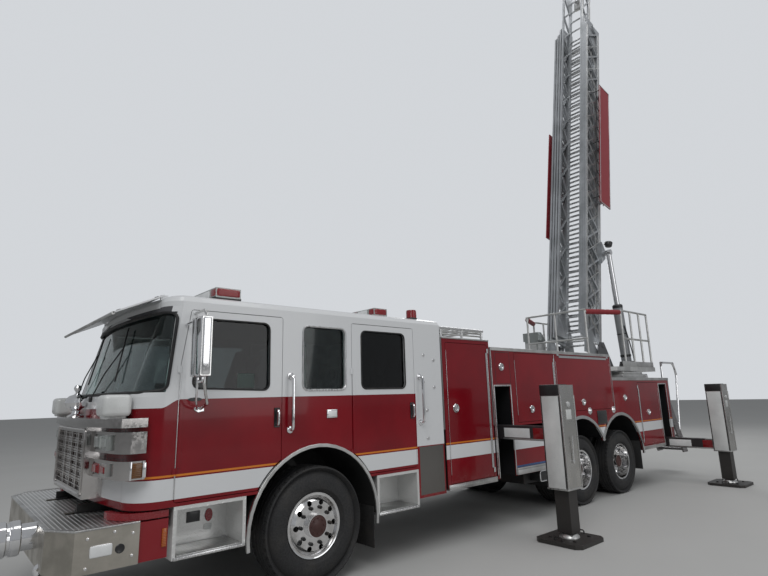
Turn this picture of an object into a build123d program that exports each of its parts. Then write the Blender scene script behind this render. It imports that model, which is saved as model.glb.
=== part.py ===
"""Aerial ladder fire engine with a tilting crew cab, a rear turntable ladder and four outriggers.

Millimetres. +X points forward, +Y to the left, +Z up. The origin is on the ground in the middle of the
overall length. Stations along the truck are measured from the front axle.
"""

import math
import os

from build123d import *

os.makedirs("parts", exist_ok=True)

SIDES = (("left", 1), ("right", -1))

# Driving dimensions of the chassis
AXLE = 3600.0
TANDEM_FRONT = AXLE - 5060.0
TANDEM_SPACING = 1350.0
TANDEM = (TANDEM_FRONT, TANDEM_FRONT - TANDEM_SPACING)
HALF_WIDTH = 1220.0
RAIL_OUT = 440.0
RAIL_THICK = 40.0
RAIL_LOW, RAIL_HIGH, FLANGE = 620.0, 900.0, 14.0
RAIL_FRONT = AXLE + 1640.0

# Wheels
RIM_RADIUS = 289.0
RIM_WIDTH = 230.0
FLANGE_RADIUS = 302.0
SEAT_GAP = 0.3
FRONT_TYRE_RADIUS, FRONT_TYRE_WIDTH = 550.0, 320.0
REAR_TYRE_RADIUS, REAR_TYRE_WIDTH = 530.0, 285.0
FRONT_TRACK_HALF = 1035.0
TWIN_OUTER_HALF, TWIN_SPACING = 1045.0, 340.0
KINGPIN_Y = 850.0
KINGPIN_RADIUS, KINGPIN_BOSS = 25.0, 40.0
SPINDLE_RADIUS = 55.0
HUB_RADIUS = 110.0
HUB_INSIDE, HUB_CAP = 90.0, 40.0
DISC_THICK, FRONT_OUTSET = 14.0, 130.0
HAND_HOLES, HAND_HOLE_CIRCLE, HAND_HOLE_RADIUS = 10, 215.0, 26.0
FRONT_WELL_RADIUS = 730.0
REAR_WELL_RADIUS = 800.0
ARCH_CENTRE_Z = 560.0

# Cab
CAB_REAR = AXLE - 1820.0
CAB_FLOOR_LOW, CAB_FLOOR = 930.0, 980.0
CAB_WALL = 60.0
CAB_FACE_LOW = 885.0
WAIST_Z = 1805.0
ROOF_LOW, ROOF_HIGH = 2575.0, 2680.0
ROOF_EDGE = (
    # drop below the roof's top, pull in from its side
    (60.0, 0.0),
    (18.0, 18.0),
    (0.0, 60.0),
)
FACE_X, FACE_TOP_X = AXLE + 1820.0, AXLE + 1605.0
CORNER_X, CORNER_TOP_X = AXLE + 1490.0, AXLE + 1400.0
CORNER_SIZE = 235.0
FACE_BULGE = 85.0
DOOR_THICK = 50.0
DOOR_GAP = 6.0
GLASS_THICK = 10.0
HINGE_RADIUS = 5.0
TILT_X, TILT_Z = AXLE + 1890.0, 830.0

# Body
PUMP_FRONT, PUMP_REAR = AXLE - 1860.0, AXLE - 2800.0
PUMP_LOW, PUMP_HIGH = 650.0, 2470.0
BODY_FRONT, BODY_REAR = AXLE - 2830.0, AXLE - 6270.0
BODY_LOW, BODY_HIGH = 650.0, 2380.0
TAIL_REAR = AXLE - 8750.0
TAIL_HIGH = 1970.0
PANEL = 40.0

# Outriggers: lane is the beam's station on the left, the right one lies one lane over
LANE_STEP = 220.0
BEAM_WIDTH, BEAM_HEIGHT = 160.0, 180.0
LANE_GAP = 5.0
COVER_WIDTH, COVER_DEPTH = 320.0, 280.0
LEG_SIZE = 190.0
LEG_SWIVEL = 80.0
PAD_SIZE, PAD_THICK = 600.0, 45.0

# Turntable and ladder
TURN_X = AXLE - 7750.0
DECK_LOW, DECK_HIGH = 2120.0, 2200.0
HEEL_X, HEEL_Z = AXLE - 7520.0, 2670.0
LADDER_ANGLE = 78.2
FOOT_AHEAD, FOOT_BELOW = 720.0, 360.0
LUG_ALONG, LUG_UP = 2100.0, -30.0
CYLINDER_Y = 640.0


def block(x, y, z, mode=Mode.ADD):
    """A box between two values on each axis."""
    with Locations(((x[0] + x[1]) / 2, (y[0] + y[1]) / 2, (z[0] + z[1]) / 2)):
        Box(abs(x[1] - x[0]), abs(y[1] - y[0]), abs(z[1] - z[0]), mode=mode)


def cut(x, y, z):
    """Takes such a box away."""
    block(x, y, z, Mode.SUBTRACT)


def around(middle, half):
    """Two values the same distance from a middle."""
    return (middle - half, middle + half)


def bar(start, end, radius, mode=Mode.ADD):
    """A round bar from one point to another."""
    axis = Vector(*end) - Vector(*start)
    with BuildSketch(Plane(Vector(*start), z_dir=axis)) as section:
        Circle(radius)
    extrude(section.sketch, amount=axis.length, mode=mode)


def rail(points, radius):
    """A round rail through several points, with a ball at each turn."""
    for start, end in zip(points, points[1:]):
        bar(start, end, radius)
    for point in points[1:-1]:
        with Locations(point):
            Sphere(radius)


def side_plate(outline, y, mode=Mode.ADD):
    """A plate of an (x, z) outline between two values of y."""
    with BuildSketch(Plane.XZ.offset(-max(y))) as profile:
        with BuildLine():
            Polyline(*outline, close=True)
        make_face()
    extrude(profile.sketch, amount=max(y) - min(y), mode=mode)


def well(x, radius, y, z=ARCH_CENTRE_Z, mode=Mode.SUBTRACT):
    """A cylinder along Y, such as a wheel well."""
    bar((x, min(y), z), (x, max(y), z), radius, mode)


def save(piece, name):
    piece.part.label = name
    export_step(piece.part, f"parts/{name}.step")


def across(side, near, far):
    """Two values of y on one side of the truck."""
    return (side * near, side * far)


def tyre(name, x, centres, radius, width):
    """One or two tyres on one hub, each sidewall an arc from bead to shoulder."""
    half, bead = width / 2, RIM_WIDTH / 2 - 12
    base = radius + RIM_RADIUS + SEAT_GAP
    swell = radius + FLANGE_RADIUS + 2
    shoulder = 2 * radius - 22
    with BuildPart() as piece:
        for y in centres:
            with BuildSketch(Plane.YZ.offset(x)):
                with BuildLine():
                    Polyline((y - bead, swell), (y - bead, base), (y + bead, base), (y + bead, swell))
                    ThreePointArc(
                        (y + bead, swell),
                        (y + half, (base + shoulder) / 2),
                        (y + half - 14, shoulder),
                    )
                    Polyline(
                        (y + half - 14, shoulder),
                        (y + half - 40, 2 * radius),
                        (y - half + 40, 2 * radius),
                        (y - half + 14, shoulder),
                    )
                    ThreePointArc(
                        (y - half + 14, shoulder),
                        (y - half, (base + shoulder) / 2),
                        (y - bead, swell),
                    )
                make_face()
            revolve(axis=Axis((x, 0, radius), (0, 1, 0)))
    save(piece, name)


def dish(x, z, rim_y, face_y):
    """A dished disc from inside a rim's edge to the face that the hub bolts to."""
    out = 1 if face_y > rim_y else -1
    edge = rim_y + out * (RIM_WIDTH / 2 - 35)
    with BuildSketch(Plane.YZ.offset(x)) as section:
        with BuildLine():
            Polyline(
                (edge, z + RIM_RADIUS - 8),
                (face_y, z + HAND_HOLE_CIRCLE + 12),
                (face_y, z + SPINDLE_RADIUS),
                (face_y - out * DISC_THICK, z + SPINDLE_RADIUS),
                (face_y - out * DISC_THICK, z + HAND_HOLE_CIRCLE + 4),
                (edge - out * 18, z + RIM_RADIUS - 8),
                close=True,
            )
        make_face()
    revolve(section.sketch, axis=Axis((x, 0, z), (0, 1, 0)))


def rim(name, side, x, z, centres, face_y, hub_end):
    """One rim or a pair of them with dished discs, hand holes and a hub that ends at hub_end."""
    with BuildPart() as piece:
        for y in centres:
            for low, high, radius in (
                (y - RIM_WIDTH / 2, y + RIM_WIDTH / 2, RIM_RADIUS),
                (y - RIM_WIDTH / 2, y - RIM_WIDTH / 2 + 10, FLANGE_RADIUS),
                (y + RIM_WIDTH / 2 - 10, y + RIM_WIDTH / 2, FLANGE_RADIUS),
            ):
                well(x, radius, (low, high), z, Mode.ADD)
        for y in centres:
            well(x, RIM_RADIUS - 14, (y - RIM_WIDTH / 2 - 1, y + RIM_WIDTH / 2 + 1), z)
        for y in centres:
            dish(x, z, y, face_y)
        hub_start = face_y - side * HUB_INSIDE
        with BuildSketch(Plane.XZ.offset(-max(hub_start, hub_end))):
            with Locations((x, z)):
                with PolarLocations(HAND_HOLE_CIRCLE, HAND_HOLES):
                    Circle(HAND_HOLE_RADIUS)
        extrude(amount=abs(hub_end - hub_start), mode=Mode.SUBTRACT)
        well(x, HUB_RADIUS, (hub_start, hub_end), z, Mode.ADD)
        bore = SPINDLE_RADIUS + SEAT_GAP
        well(x, bore, (hub_start, hub_end - side * HUB_CAP), z)
    save(piece, name)


def wheels():
    for side, sign in SIDES:
        y = sign * FRONT_TRACK_HALF
        tyre(f"front_tyre_{side}", AXLE, (y,), FRONT_TYRE_RADIUS, FRONT_TYRE_WIDTH)
        rim(
            f"front_rim_{side}",
            sign,
            AXLE,
            FRONT_TYRE_RADIUS,
            (y,),
            y + sign * FRONT_OUTSET,
            y + sign * 175,
        )
        for place, x in zip(("fore", "aft"), TANDEM):
            outer, inner = sign * TWIN_OUTER_HALF, sign * (TWIN_OUTER_HALF - TWIN_SPACING)
            tyre(
                f"{place}_tyres_{side}", x, (outer, inner), REAR_TYRE_RADIUS, REAR_TYRE_WIDTH
            )
            rim(
                f"{place}_rims_{side}",
                sign,
                x,
                REAR_TYRE_RADIUS,
                (outer, inner),
                (outer + inner) / 2,
                outer + sign * 70,
            )


def spindle(sign, x, z, hub_start, hub_end):
    """The stub that a hub turns on, ending just short of the hub's cap."""
    end = abs(hub_end) - HUB_CAP - SEAT_GAP
    well(x, SPINDLE_RADIUS, (sign * hub_start, sign * end), z, Mode.ADD)


def front_axle():
    """A beam under two leaf springs, with a kingpin boss at each end."""
    low, high = FRONT_TYRE_RADIUS - 150, FRONT_TYRE_RADIUS - 40
    with BuildPart() as piece:
        block(around(AXLE, 55), (-700, 700), (low, high))
        for side, sign in SIDES:
            block(around(AXLE, 55), across(sign, 690, KINGPIN_Y - 62), (low, high + 60))
            block(around(AXLE, 35), across(sign, 700, KINGPIN_Y), (high - 30, high + 60))
            bar((AXLE, sign * KINGPIN_Y, high - 30), (AXLE, sign * KINGPIN_Y, high + 60), KINGPIN_BOSS)
            spring_y = across(sign, RAIL_OUT - 85, RAIL_OUT)
            block(around(AXLE, 70), spring_y, (high, high + 40))
            side_plate(
                (
                    (AXLE - 700, RAIL_LOW - 20),
                    (AXLE - 150, high + 40),
                    (AXLE + 150, high + 40),
                    (AXLE + 700, RAIL_LOW - 20),
                    (AXLE + 700, RAIL_LOW),
                    (AXLE + 640, RAIL_LOW),
                    (AXLE + 150, high + 75),
                    (AXLE - 150, high + 75),
                    (AXLE - 640, RAIL_LOW),
                    (AXLE - 700, RAIL_LOW),
                ),
                spring_y,
            )
            pin = KINGPIN_RADIUS + SEAT_GAP
            bar(
                (AXLE, sign * KINGPIN_Y, high - 40),
                (AXLE, sign * KINGPIN_Y, high + 70),
                pin,
                Mode.SUBTRACT,
            )
    save(piece, "front_axle")


def knuckles():
    """A fork around the axle's end, the kingpin through it and the wheel's spindle."""
    high = FRONT_TYRE_RADIUS - 40
    gap = SEAT_GAP
    for side, sign in SIDES:
        face = KINGPIN_Y + 48
        with BuildPart() as piece:
            block(around(AXLE, 60), across(sign, face, face + 30), (high - 110, high + 150))
            for low, top in ((high - 90, high - 30 - gap), (high + 60 + gap, high + 110)):
                block(around(AXLE, 40), across(sign, KINGPIN_Y - 30, face), (low, top))
            bar(
                (AXLE, sign * KINGPIN_Y, high - 90),
                (AXLE, sign * KINGPIN_Y, high + 110),
                KINGPIN_RADIUS,
            )
            hub_end = FRONT_TRACK_HALF + 175
            spindle(sign, AXLE, FRONT_TYRE_RADIUS, face + 30, hub_end)
        save(piece, f"knuckle_{side}")


def rear_axles():
    """Two driven axles with their housings, the springs between them and the shaft to the gearbox."""
    z = REAR_TYRE_RADIUS
    hub_end = TWIN_OUTER_HALF + 70
    with BuildPart() as piece:
        for x in TANDEM:
            well(x, 75, (-600, 600), z, Mode.ADD)
            with Locations((x, 0, z)):
                Sphere(210)
            for side, sign in SIDES:
                spindle(sign, x, z, 590, hub_end)
                well(x, 95, across(sign, 470, 600), z, Mode.ADD)
        middle = (TANDEM[0] + TANDEM[1]) / 2
        for side, sign in SIDES:
            spring_y = across(sign, RAIL_OUT - 90, RAIL_OUT - 5)
            block((TANDEM[1] - 90, TANDEM[0] + 90), spring_y, (z - 20, z + 45))
            block(around(middle, 110), spring_y, (z - 30, RAIL_LOW))
        bar((TANDEM[1], 0, z), (TANDEM[0], 0, z), 55)
        bar((TANDEM[0], 0, z + 30), (GEARBOX_REAR - 6, 0, z + 90), 55)
    save(piece, "rear_axles")


GEARBOX_REAR = AXLE - 1250.0
ENGINE_FRONT, ENGINE_REAR = AXLE + 1050.0, AXLE - 250.0
ENGINE_HALF, ENGINE_HIGH = 345.0, 1420.0


def engine():
    """A plain block at the engine's place, with the gearbox behind it."""
    with BuildPart() as piece:
        block(
            (ENGINE_REAR, ENGINE_FRONT),
            (-ENGINE_HALF, ENGINE_HALF),
            (FRONT_TYRE_RADIUS + 40, ENGINE_HIGH),
        )
        block((GEARBOX_REAR, ENGINE_REAR), (-250, 250), (540, 860))
        for sign in (1, -1):
            mount_y = across(sign, ENGINE_HALF - 5, RAIL_OUT - RAIL_THICK - SEAT_GAP)
            block((AXLE + 760, AXLE + 900), mount_y, (RAIL_LOW + FLANGE + SEAT_GAP, RAIL_LOW + 150))
    save(piece, "engine_block")


FRONT_LANE, REAR_LANE = AXLE - 3050.0, AXLE - 8400.0
FRONT_BEAM_LOW, REAR_BEAM_LOW = 1150.0, 625.0
OUTRIGGERS = (
    # place, left lane, step to the right lane, beam's low edge, reach, travel, cover's low and high edges
    ("front", FRONT_LANE, -LANE_STEP, FRONT_BEAM_LOW, 2050.0, 970.0, 600.0, 1840.0),
    ("rear", REAR_LANE, LANE_STEP, REAR_BEAM_LOW, 2200.0, 1120.0, 600.0, 1820.0),
)
BOX_WALL = 22.0
TORQUE_BOX_HIGH = 1050.0
BOX_HALF = 860.0
RUNNER = 60.0
RAIL_REAR = REAR_LANE + LANE_STEP + BEAM_WIDTH / 2 + LANE_GAP + BOX_WALL


def lanes(row):
    """The station of the beam on each side."""
    place, lane, step = row[:3]
    return (("left", 1, lane), ("right", -1, lane + step))


CROSSMEMBER_LOW = 700.0
TOW_EYE = (TILT_X, 520.0)
TOW_EYE_BORE = 25.0
CROSSMEMBERS = (
    RAIL_FRONT - 70,
    AXLE - 1600,
    AXLE - 2600,
    AXLE - 3800,
    AXLE - 5735,
    AXLE - 7300,
    AXLE - 8000,
)


def chassis_frame():
    """Two rails with crossmembers, spring hangers, the tanks and the cab's tilt brackets."""
    with BuildPart() as piece:
        for side, sign in SIDES:
            block(
                (RAIL_REAR, RAIL_FRONT),
                across(sign, RAIL_OUT - RAIL_THICK, RAIL_OUT),
                (RAIL_LOW, RAIL_HIGH),
            )
            for z in ((RAIL_LOW, RAIL_LOW + FLANGE), (RAIL_HIGH - FLANGE, RAIL_HIGH)):
                block((RAIL_REAR, RAIL_FRONT), across(sign, RAIL_OUT - 90, RAIL_OUT), z)
            tank_y = across(sign, RAIL_OUT, RAIL_OUT + 600)
            block((AXLE - 4180, AXLE - 3640), tank_y, (470, 640))
            block(around(TILT_X, 45), across(sign, 395, RAIL_OUT), (RAIL_LOW, TILT_Z + 45))
            block((RAIL_FRONT, TILT_X + 45), across(sign, 395, RAIL_OUT), (RAIL_LOW, TILT_Z - 80))
            well(TILT_X, 26, across(sign, 400, 480), TILT_Z, Mode.ADD)
            eye_x, eye_z = TOW_EYE
            eye_y = across(sign, 395, 430)
            block(around(eye_x, 45), eye_y, (eye_z, RAIL_LOW + 1))
            well(eye_x, 45, eye_y, eye_z, Mode.ADD)
            well(eye_x, TOW_EYE_BORE, eye_y, eye_z)
        block(around(TILT_X, 30), (SEAT_GAP - BUMPER_RIB, BUMPER_RIB - SEAT_GAP), (640, 700))
        for x in CROSSMEMBERS:
            block(
                around(x, 60),
                (-RAIL_OUT + RAIL_THICK, RAIL_OUT - RAIL_THICK),
                (CROSSMEMBER_LOW, RAIL_HIGH - 30),
            )
    save(piece, "chassis_frame")


BUMPER_FRONT, BUMPER_REAR = AXLE + 2234.0, AXLE + 1640.0
BUMPER_LOW, BUMPER_HIGH = 560.0, 861.0
BUMPER_RIB = 500.0
TILT_NOTCH = 125.0
SIREN_RADIUS, SIREN_Z, SIREN_Y = 125.0, 770.0, 620.0
SIREN_FRONT = AXLE + 2500.0


def bumper():
    """A deck of tread plate on a channel, with chamfered corners and side plates."""
    chamfer_x, chamfer_y = 150.0, 230.0
    outline = (
        (BUMPER_REAR, HALF_WIDTH),
        (BUMPER_FRONT - chamfer_x, HALF_WIDTH),
        (BUMPER_FRONT, HALF_WIDTH - chamfer_y),
        (BUMPER_FRONT, chamfer_y - HALF_WIDTH),
        (BUMPER_FRONT - chamfer_x, -HALF_WIDTH),
        (BUMPER_REAR, -HALF_WIDTH),
    )
    with BuildPart() as piece:
        with BuildSketch(Plane.XY.offset(BUMPER_LOW)):
            with BuildLine():
                Polyline(*outline, close=True)
            make_face()
        extrude(amount=BUMPER_HIGH - BUMPER_LOW)
        with BuildSketch(Plane.XY.offset(BUMPER_LOW)):
            with BuildLine():
                Polyline(*outline, close=True)
            make_face()
            offset(amount=-20, kind=Kind.INTERSECTION)
        extrude(amount=BUMPER_HIGH - BUMPER_LOW - 12, mode=Mode.SUBTRACT)
        with BuildSketch(Plane.XY.offset(BUMPER_HIGH - 12)):
            with BuildLine():
                Polyline(*outline, close=True)
            make_face()
            offset(amount=-20, kind=Kind.INTERSECTION)
        extrude(amount=6)
        for side, sign in SIDES:
            block(
                (AXLE + 1420, BUMPER_REAR),
                across(sign, HALF_WIDTH - 60, HALF_WIDTH - 20),
                (BUMPER_LOW, CAB_FACE_LOW - 35),
            )
            block(
                (BUMPER_REAR - 1, BUMPER_REAR + 20),
                across(sign, RAIL_OUT, HALF_WIDTH - 20),
                (BUMPER_LOW, BUMPER_HIGH - 12),
            )
            rib_y = across(sign, BUMPER_RIB, BUMPER_RIB + 40)
            block((BUMPER_REAR + 20, BUMPER_FRONT - 20), rib_y, (BUMPER_LOW + 40, BUMPER_HIGH - 12))
            cut(
                (BUMPER_REAR - 1, TILT_X + TILT_NOTCH),
                across(sign, 385, 495),
                (BUMPER_LOW, BUMPER_HIGH + 1),
            )
        cut((BUMPER_REAR - 1, BUMPER_REAR + 21), (-RAIL_OUT, RAIL_OUT), (BUMPER_LOW - 1, BUMPER_HIGH + 1))
        siren()
    save(piece, "front_bumper")


def siren():
    """A round siren that looks forward from the bumper."""
    for low, high, radius in (
        (BUMPER_FRONT - 10, SIREN_FRONT - 140, SIREN_RADIUS - 30),
        (SIREN_FRONT - 150, SIREN_FRONT - 90, SIREN_RADIUS),
        (SIREN_FRONT - 95, SIREN_FRONT - 60, SIREN_RADIUS - 14),
        (SIREN_FRONT - 60, SIREN_FRONT, SIREN_RADIUS),
    ):
        bar((low, SIREN_Y, SIREN_Z), (high, SIREN_Y, SIREN_Z), radius)


def plan(front, corner, inset):
    """The cab's outline from above: straight sides, round corners and a gently curved face."""
    half = HALF_WIDTH - inset
    face = front - inset
    start = corner - inset * 0.4
    end_x, end_y = face - FACE_BULGE, half - CORNER_SIZE
    for sign in (1, -1):
        Line((CAB_REAR + inset, sign * half), (start, sign * half))
        middle = (start + 0.707 * (end_x - start), sign * (half - 0.293 * (half - end_y)))
        ThreePointArc((start, sign * half), middle, (end_x, sign * end_y))
    ThreePointArc((end_x, end_y), (face, 0), (end_x, -end_y))
    Line((CAB_REAR + inset, half), (CAB_REAR + inset, -half))


def cab_block(inset, low, high, mode=Mode.ADD):
    """The cab's solid: straight up to the waist, leaning in above it."""
    with BuildSketch(Plane.XY.offset(WAIST_Z)) as waist:
        with BuildLine():
            plan(FACE_X, CORNER_X, inset)
        make_face()
    with BuildSketch(Plane.XY.offset(ROOF_LOW)) as top:
        with BuildLine():
            plan(FACE_TOP_X, CORNER_TOP_X, inset)
        make_face()
    loft([waist.sketch.face(), top.sketch.face()], ruled=True, mode=mode)
    if low < WAIST_Z:
        extrude(waist.sketch, amount=low - WAIST_Z, mode=mode)
    if high > ROOF_LOW:
        sections = []
        for drop, pull in ROOF_EDGE:
            with BuildSketch(Plane.XY.offset(high - drop)) as level:
                with BuildLine():
                    plan(FACE_TOP_X, CORNER_TOP_X, inset + pull)
                make_face()
            sections.append(level.sketch.face())
        extrude(top.sketch, amount=high - ROOF_EDGE[0][0] - ROOF_LOW, mode=mode)
        loft(sections, ruled=True, mode=mode)


FRONT_DOOR = (
    (AXLE + 1395, 962.0),
    (AXLE + 1395, 2030.0),
    (AXLE + 1320, 2545.0),
    (AXLE + 420, 2545.0),
    (AXLE + 420, 962.0),
)
CREW_DOOR = (
    (AXLE - 430, 962.0),
    (AXLE - 430, 2545.0),
    (AXLE - 1350, 2545.0),
    (AXLE - 1350, 962.0),
)
FRONT_WINDOW = (
    (AXLE + 1290, 1870.0),
    (AXLE + 1235, 2475.0),
    (AXLE + 560, 2475.0),
    (AXLE + 555, 1845.0),
)
CREW_WINDOW = (
    (AXLE - 560, 1845.0),
    (AXLE - 560, 2475.0),
    (AXLE - 1210, 2475.0),
    (AXLE - 1210, 1845.0),
)
MIDDLE_WINDOW = (
    (AXLE + 180, 1845.0),
    (AXLE + 180, 2475.0),
    (AXLE - 340, 2475.0),
    (AXLE - 340, 1845.0),
)
WINDOW_CORNER = 60.0
WINDSCREEN_LOW, WINDSCREEN_HIGH = 1840.0, 2525.0
WINDSCREEN_REAR_LOW, WINDSCREEN_REAR_HIGH = AXLE + 1505.0, AXLE + 1440.0
TUNNEL_HALF, TUNNEL_HIGH = 440.0, 1500.0
TUNNEL_FRONT, TUNNEL_REAR = AXLE + 1170.0, AXLE - 480.0
TUNNEL_WALL = 25.0
WELL_LINER = 25.0
WELL_INNER_Y = 520.0
STEP_LOW = 525.0
STEPS = (
    # front and rear end of each step box
    (AXLE + 1390, AXLE + 760),
    (AXLE - 750, AXLE - 1370),
)


def outline_cut(outline, y, grow, corner, mode=Mode.SUBTRACT):
    """Cuts or adds a rounded (x, z) outline, made larger by grow all round."""
    with BuildSketch(Plane.XZ.offset(-max(y))) as sketch:
        with BuildLine():
            Polyline(*outline, close=True)
        make_face()
        fillet(sketch.vertices(), corner)
        if grow:
            offset(amount=grow)
    extrude(sketch.sketch, amount=max(y) - min(y), mode=mode)


def windscreen_region(grow, mode):
    """The part of the cab's front that is glass, out past its skin on every side."""
    wide = HALF_WIDTH + 50
    side_plate(
        (
            (WINDSCREEN_REAR_LOW - grow, WINDSCREEN_LOW - grow),
            (FACE_X + 50, WINDSCREEN_LOW - grow),
            (FACE_X + 50, WINDSCREEN_HIGH + grow),
            (WINDSCREEN_REAR_HIGH - grow, WINDSCREEN_HIGH + grow),
        ),
        (-wide, wide),
        mode,
    )


def cab_shell():
    """Floor, walls, roof, wheel housings, engine tunnel, steps and tilt arms, in one skin."""
    with BuildPart() as piece:
        cab_block(0, CAB_FLOOR_LOW, ROOF_HIGH)
        cab_block(CAB_WALL, CAB_FLOOR, ROOF_LOW, Mode.SUBTRACT)
        for side, sign in SIDES:
            wall = across(sign, HALF_WIDTH - CAB_WALL - 5, HALF_WIDTH + 20)
            for outline in (FRONT_DOOR, CREW_DOOR):
                outline_cut(outline, wall, DOOR_GAP, 25)
            outline_cut(MIDDLE_WINDOW, wall, DOOR_GAP, WINDOW_CORNER)
        windscreen_region(0, Mode.SUBTRACT)
        for side, sign in SIDES:
            inside = across(sign, WELL_INNER_Y - WELL_LINER, HALF_WIDTH)
            liner = FRONT_WELL_RADIUS + WELL_LINER
            well(AXLE, liner, inside, mode=Mode.ADD)
            cut(around(AXLE, liner), across(sign, 0, HALF_WIDTH), (-liner, ARCH_CENTRE_Z))
            for front, rear in STEPS:
                block((rear, front), across(sign, 860, HALF_WIDTH), (STEP_LOW, CAB_FLOOR_LOW))
            block((CAB_REAR, AXLE - 1370), across(sign, 1000, HALF_WIDTH), (610, CAB_FLOOR_LOW))
        block((TUNNEL_REAR, TUNNEL_FRONT), (-TUNNEL_HALF, TUNNEL_HALF), (CAB_FLOOR_LOW, TUNNEL_HIGH))
        block(
            (TUNNEL_REAR + TUNNEL_WALL, TUNNEL_FRONT - TUNNEL_WALL),
            (TUNNEL_WALL - TUNNEL_HALF, TUNNEL_HALF - TUNNEL_WALL),
            (0, TUNNEL_HIGH - TUNNEL_WALL),
            Mode.SUBTRACT,
        )
        for side, sign in SIDES:
            well(AXLE, FRONT_WELL_RADIUS, across(sign, WELL_INNER_Y, HALF_WIDTH + 40))
            for front, rear in STEPS:
                cut(
                    (rear + 30, front - 30),
                    across(sign, 890, HALF_WIDTH + 1),
                    (STEP_LOW + 20, CAB_FLOOR_LOW - 30),
                )
            side_plate(
                (
                    (AXLE + 1300, CAB_FLOOR_LOW),
                    (TILT_X + 45, CAB_FLOOR_LOW),
                    (TILT_X + 45, TILT_Z - 45),
                    (TILT_X - 45, TILT_Z - 45),
                ),
                across(sign, RAIL_OUT + 5, RAIL_OUT + 35),
            )
            well(TILT_X, 26 + SEAT_GAP, across(sign, RAIL_OUT, 500), TILT_Z)
            for name, outline, window, hinge_x in DOORS:
                upright_hinge(hinge_x - HINGE_RADIUS, sign, -1, *CAB_HINGE, False)
        visor()
    save(piece, "cab_shell")


def cab_glass():
    """The wrap-round windscreen and the fixed pane on each side."""
    middle = (CAB_WALL - GLASS_THICK) / 2
    with BuildPart() as piece:
        cab_block(middle, WAIST_Z, ROOF_LOW)
        cab_block(middle + GLASS_THICK, WAIST_Z, ROOF_LOW, Mode.SUBTRACT)
        windscreen_region(-SEAT_GAP, Mode.INTERSECT)
        for side, sign in SIDES:
            outline_cut(
                MIDDLE_WINDOW,
                across(sign, 1180, 1190),
                DOOR_GAP - SEAT_GAP,
                WINDOW_CORNER,
                Mode.ADD,
            )
    save(piece, "cab_glass")


DOORS = (
    # name, outline, window, hinge station
    ("front_door", FRONT_DOOR, FRONT_WINDOW, AXLE + 1395),
    ("crew_door", CREW_DOOR, CREW_WINDOW, AXLE - 430),
)
DOOR_HINGE_Y = HALF_WIDTH + HINGE_RADIUS + 2
CAB_HINGE = (1230.0, 2000.0)
MIRROR = (AXLE + 1290, 1480.0)


def cab_doors():
    """Four doors with their panes; each turns on a long hinge along its front edge."""
    for name, outline, window, hinge_x in DOORS:
        for side, sign in SIDES:
            slab = across(sign, HALF_WIDTH - DOOR_THICK, HALF_WIDTH)
            with BuildPart() as piece:
                outline_cut(outline, slab, 0, 20, Mode.ADD)
                outline_cut(window, across(sign, HALF_WIDTH - 60, HALF_WIDTH + 9), 0, WINDOW_CORNER)
                well(AXLE, FRONT_WELL_RADIUS + 40, across(sign, HALF_WIDTH - 60, HALF_WIDTH + 9))
                upright_hinge(hinge_x - HINGE_RADIUS, sign, -1, *CAB_HINGE, True)
                if name == "front_door":
                    mirror(sign)
            save(piece, f"{name}_{side}")
            with BuildPart() as pane:
                middle = HALF_WIDTH - DOOR_THICK / 2
                outline_cut(
                    window,
                    across(sign, middle - 5, middle + 5),
                    -SEAT_GAP,
                    WINDOW_CORNER,
                    Mode.ADD,
                )
            save(pane, f"{name}_glass_{side}")


def mirror(sign):
    """Two bent arms from the front door, a post between them and the mirror's head on the post."""
    x, y = MIRROR
    rail(
        (
            (x, sign * (HALF_WIDTH - 10), 2515),
            (x, sign * (y - 60), 2520),
            (x, sign * y, 2470),
            (x, sign * y, 1900),
            (x - 60, sign * (y - 70), 1740),
            (x - 80, sign * (HALF_WIDTH - 10), 1690),
        ),
        12,
    )
    block((x, x + 85), across(sign, y - 95, y + 125), (1960, 2440))


def wrap(outset, low, high):
    """A band of the given thickness round the cab's face, from the skin outwards."""
    with BuildSketch(Plane.XY.offset(low)) as band:
        with BuildLine():
            plan(FACE_X, CORNER_X, -outset)
        make_face()
        with BuildLine():
            plan(FACE_X, CORNER_X, -SEAT_GAP)
        make_face(mode=Mode.SUBTRACT)
    extrude(band.sketch, amount=high - low)


GRILLE_LOW, GRILLE_HIGH, GRILLE_HALF, GRILLE_WIDEST = 985.0, 1565.0, 610.0, 1250.0
SHELF = (1570.0, 1640.0)


LAMP_ROWS = ((1370.0, 1535.0), (1175.0, 1315.0))


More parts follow.
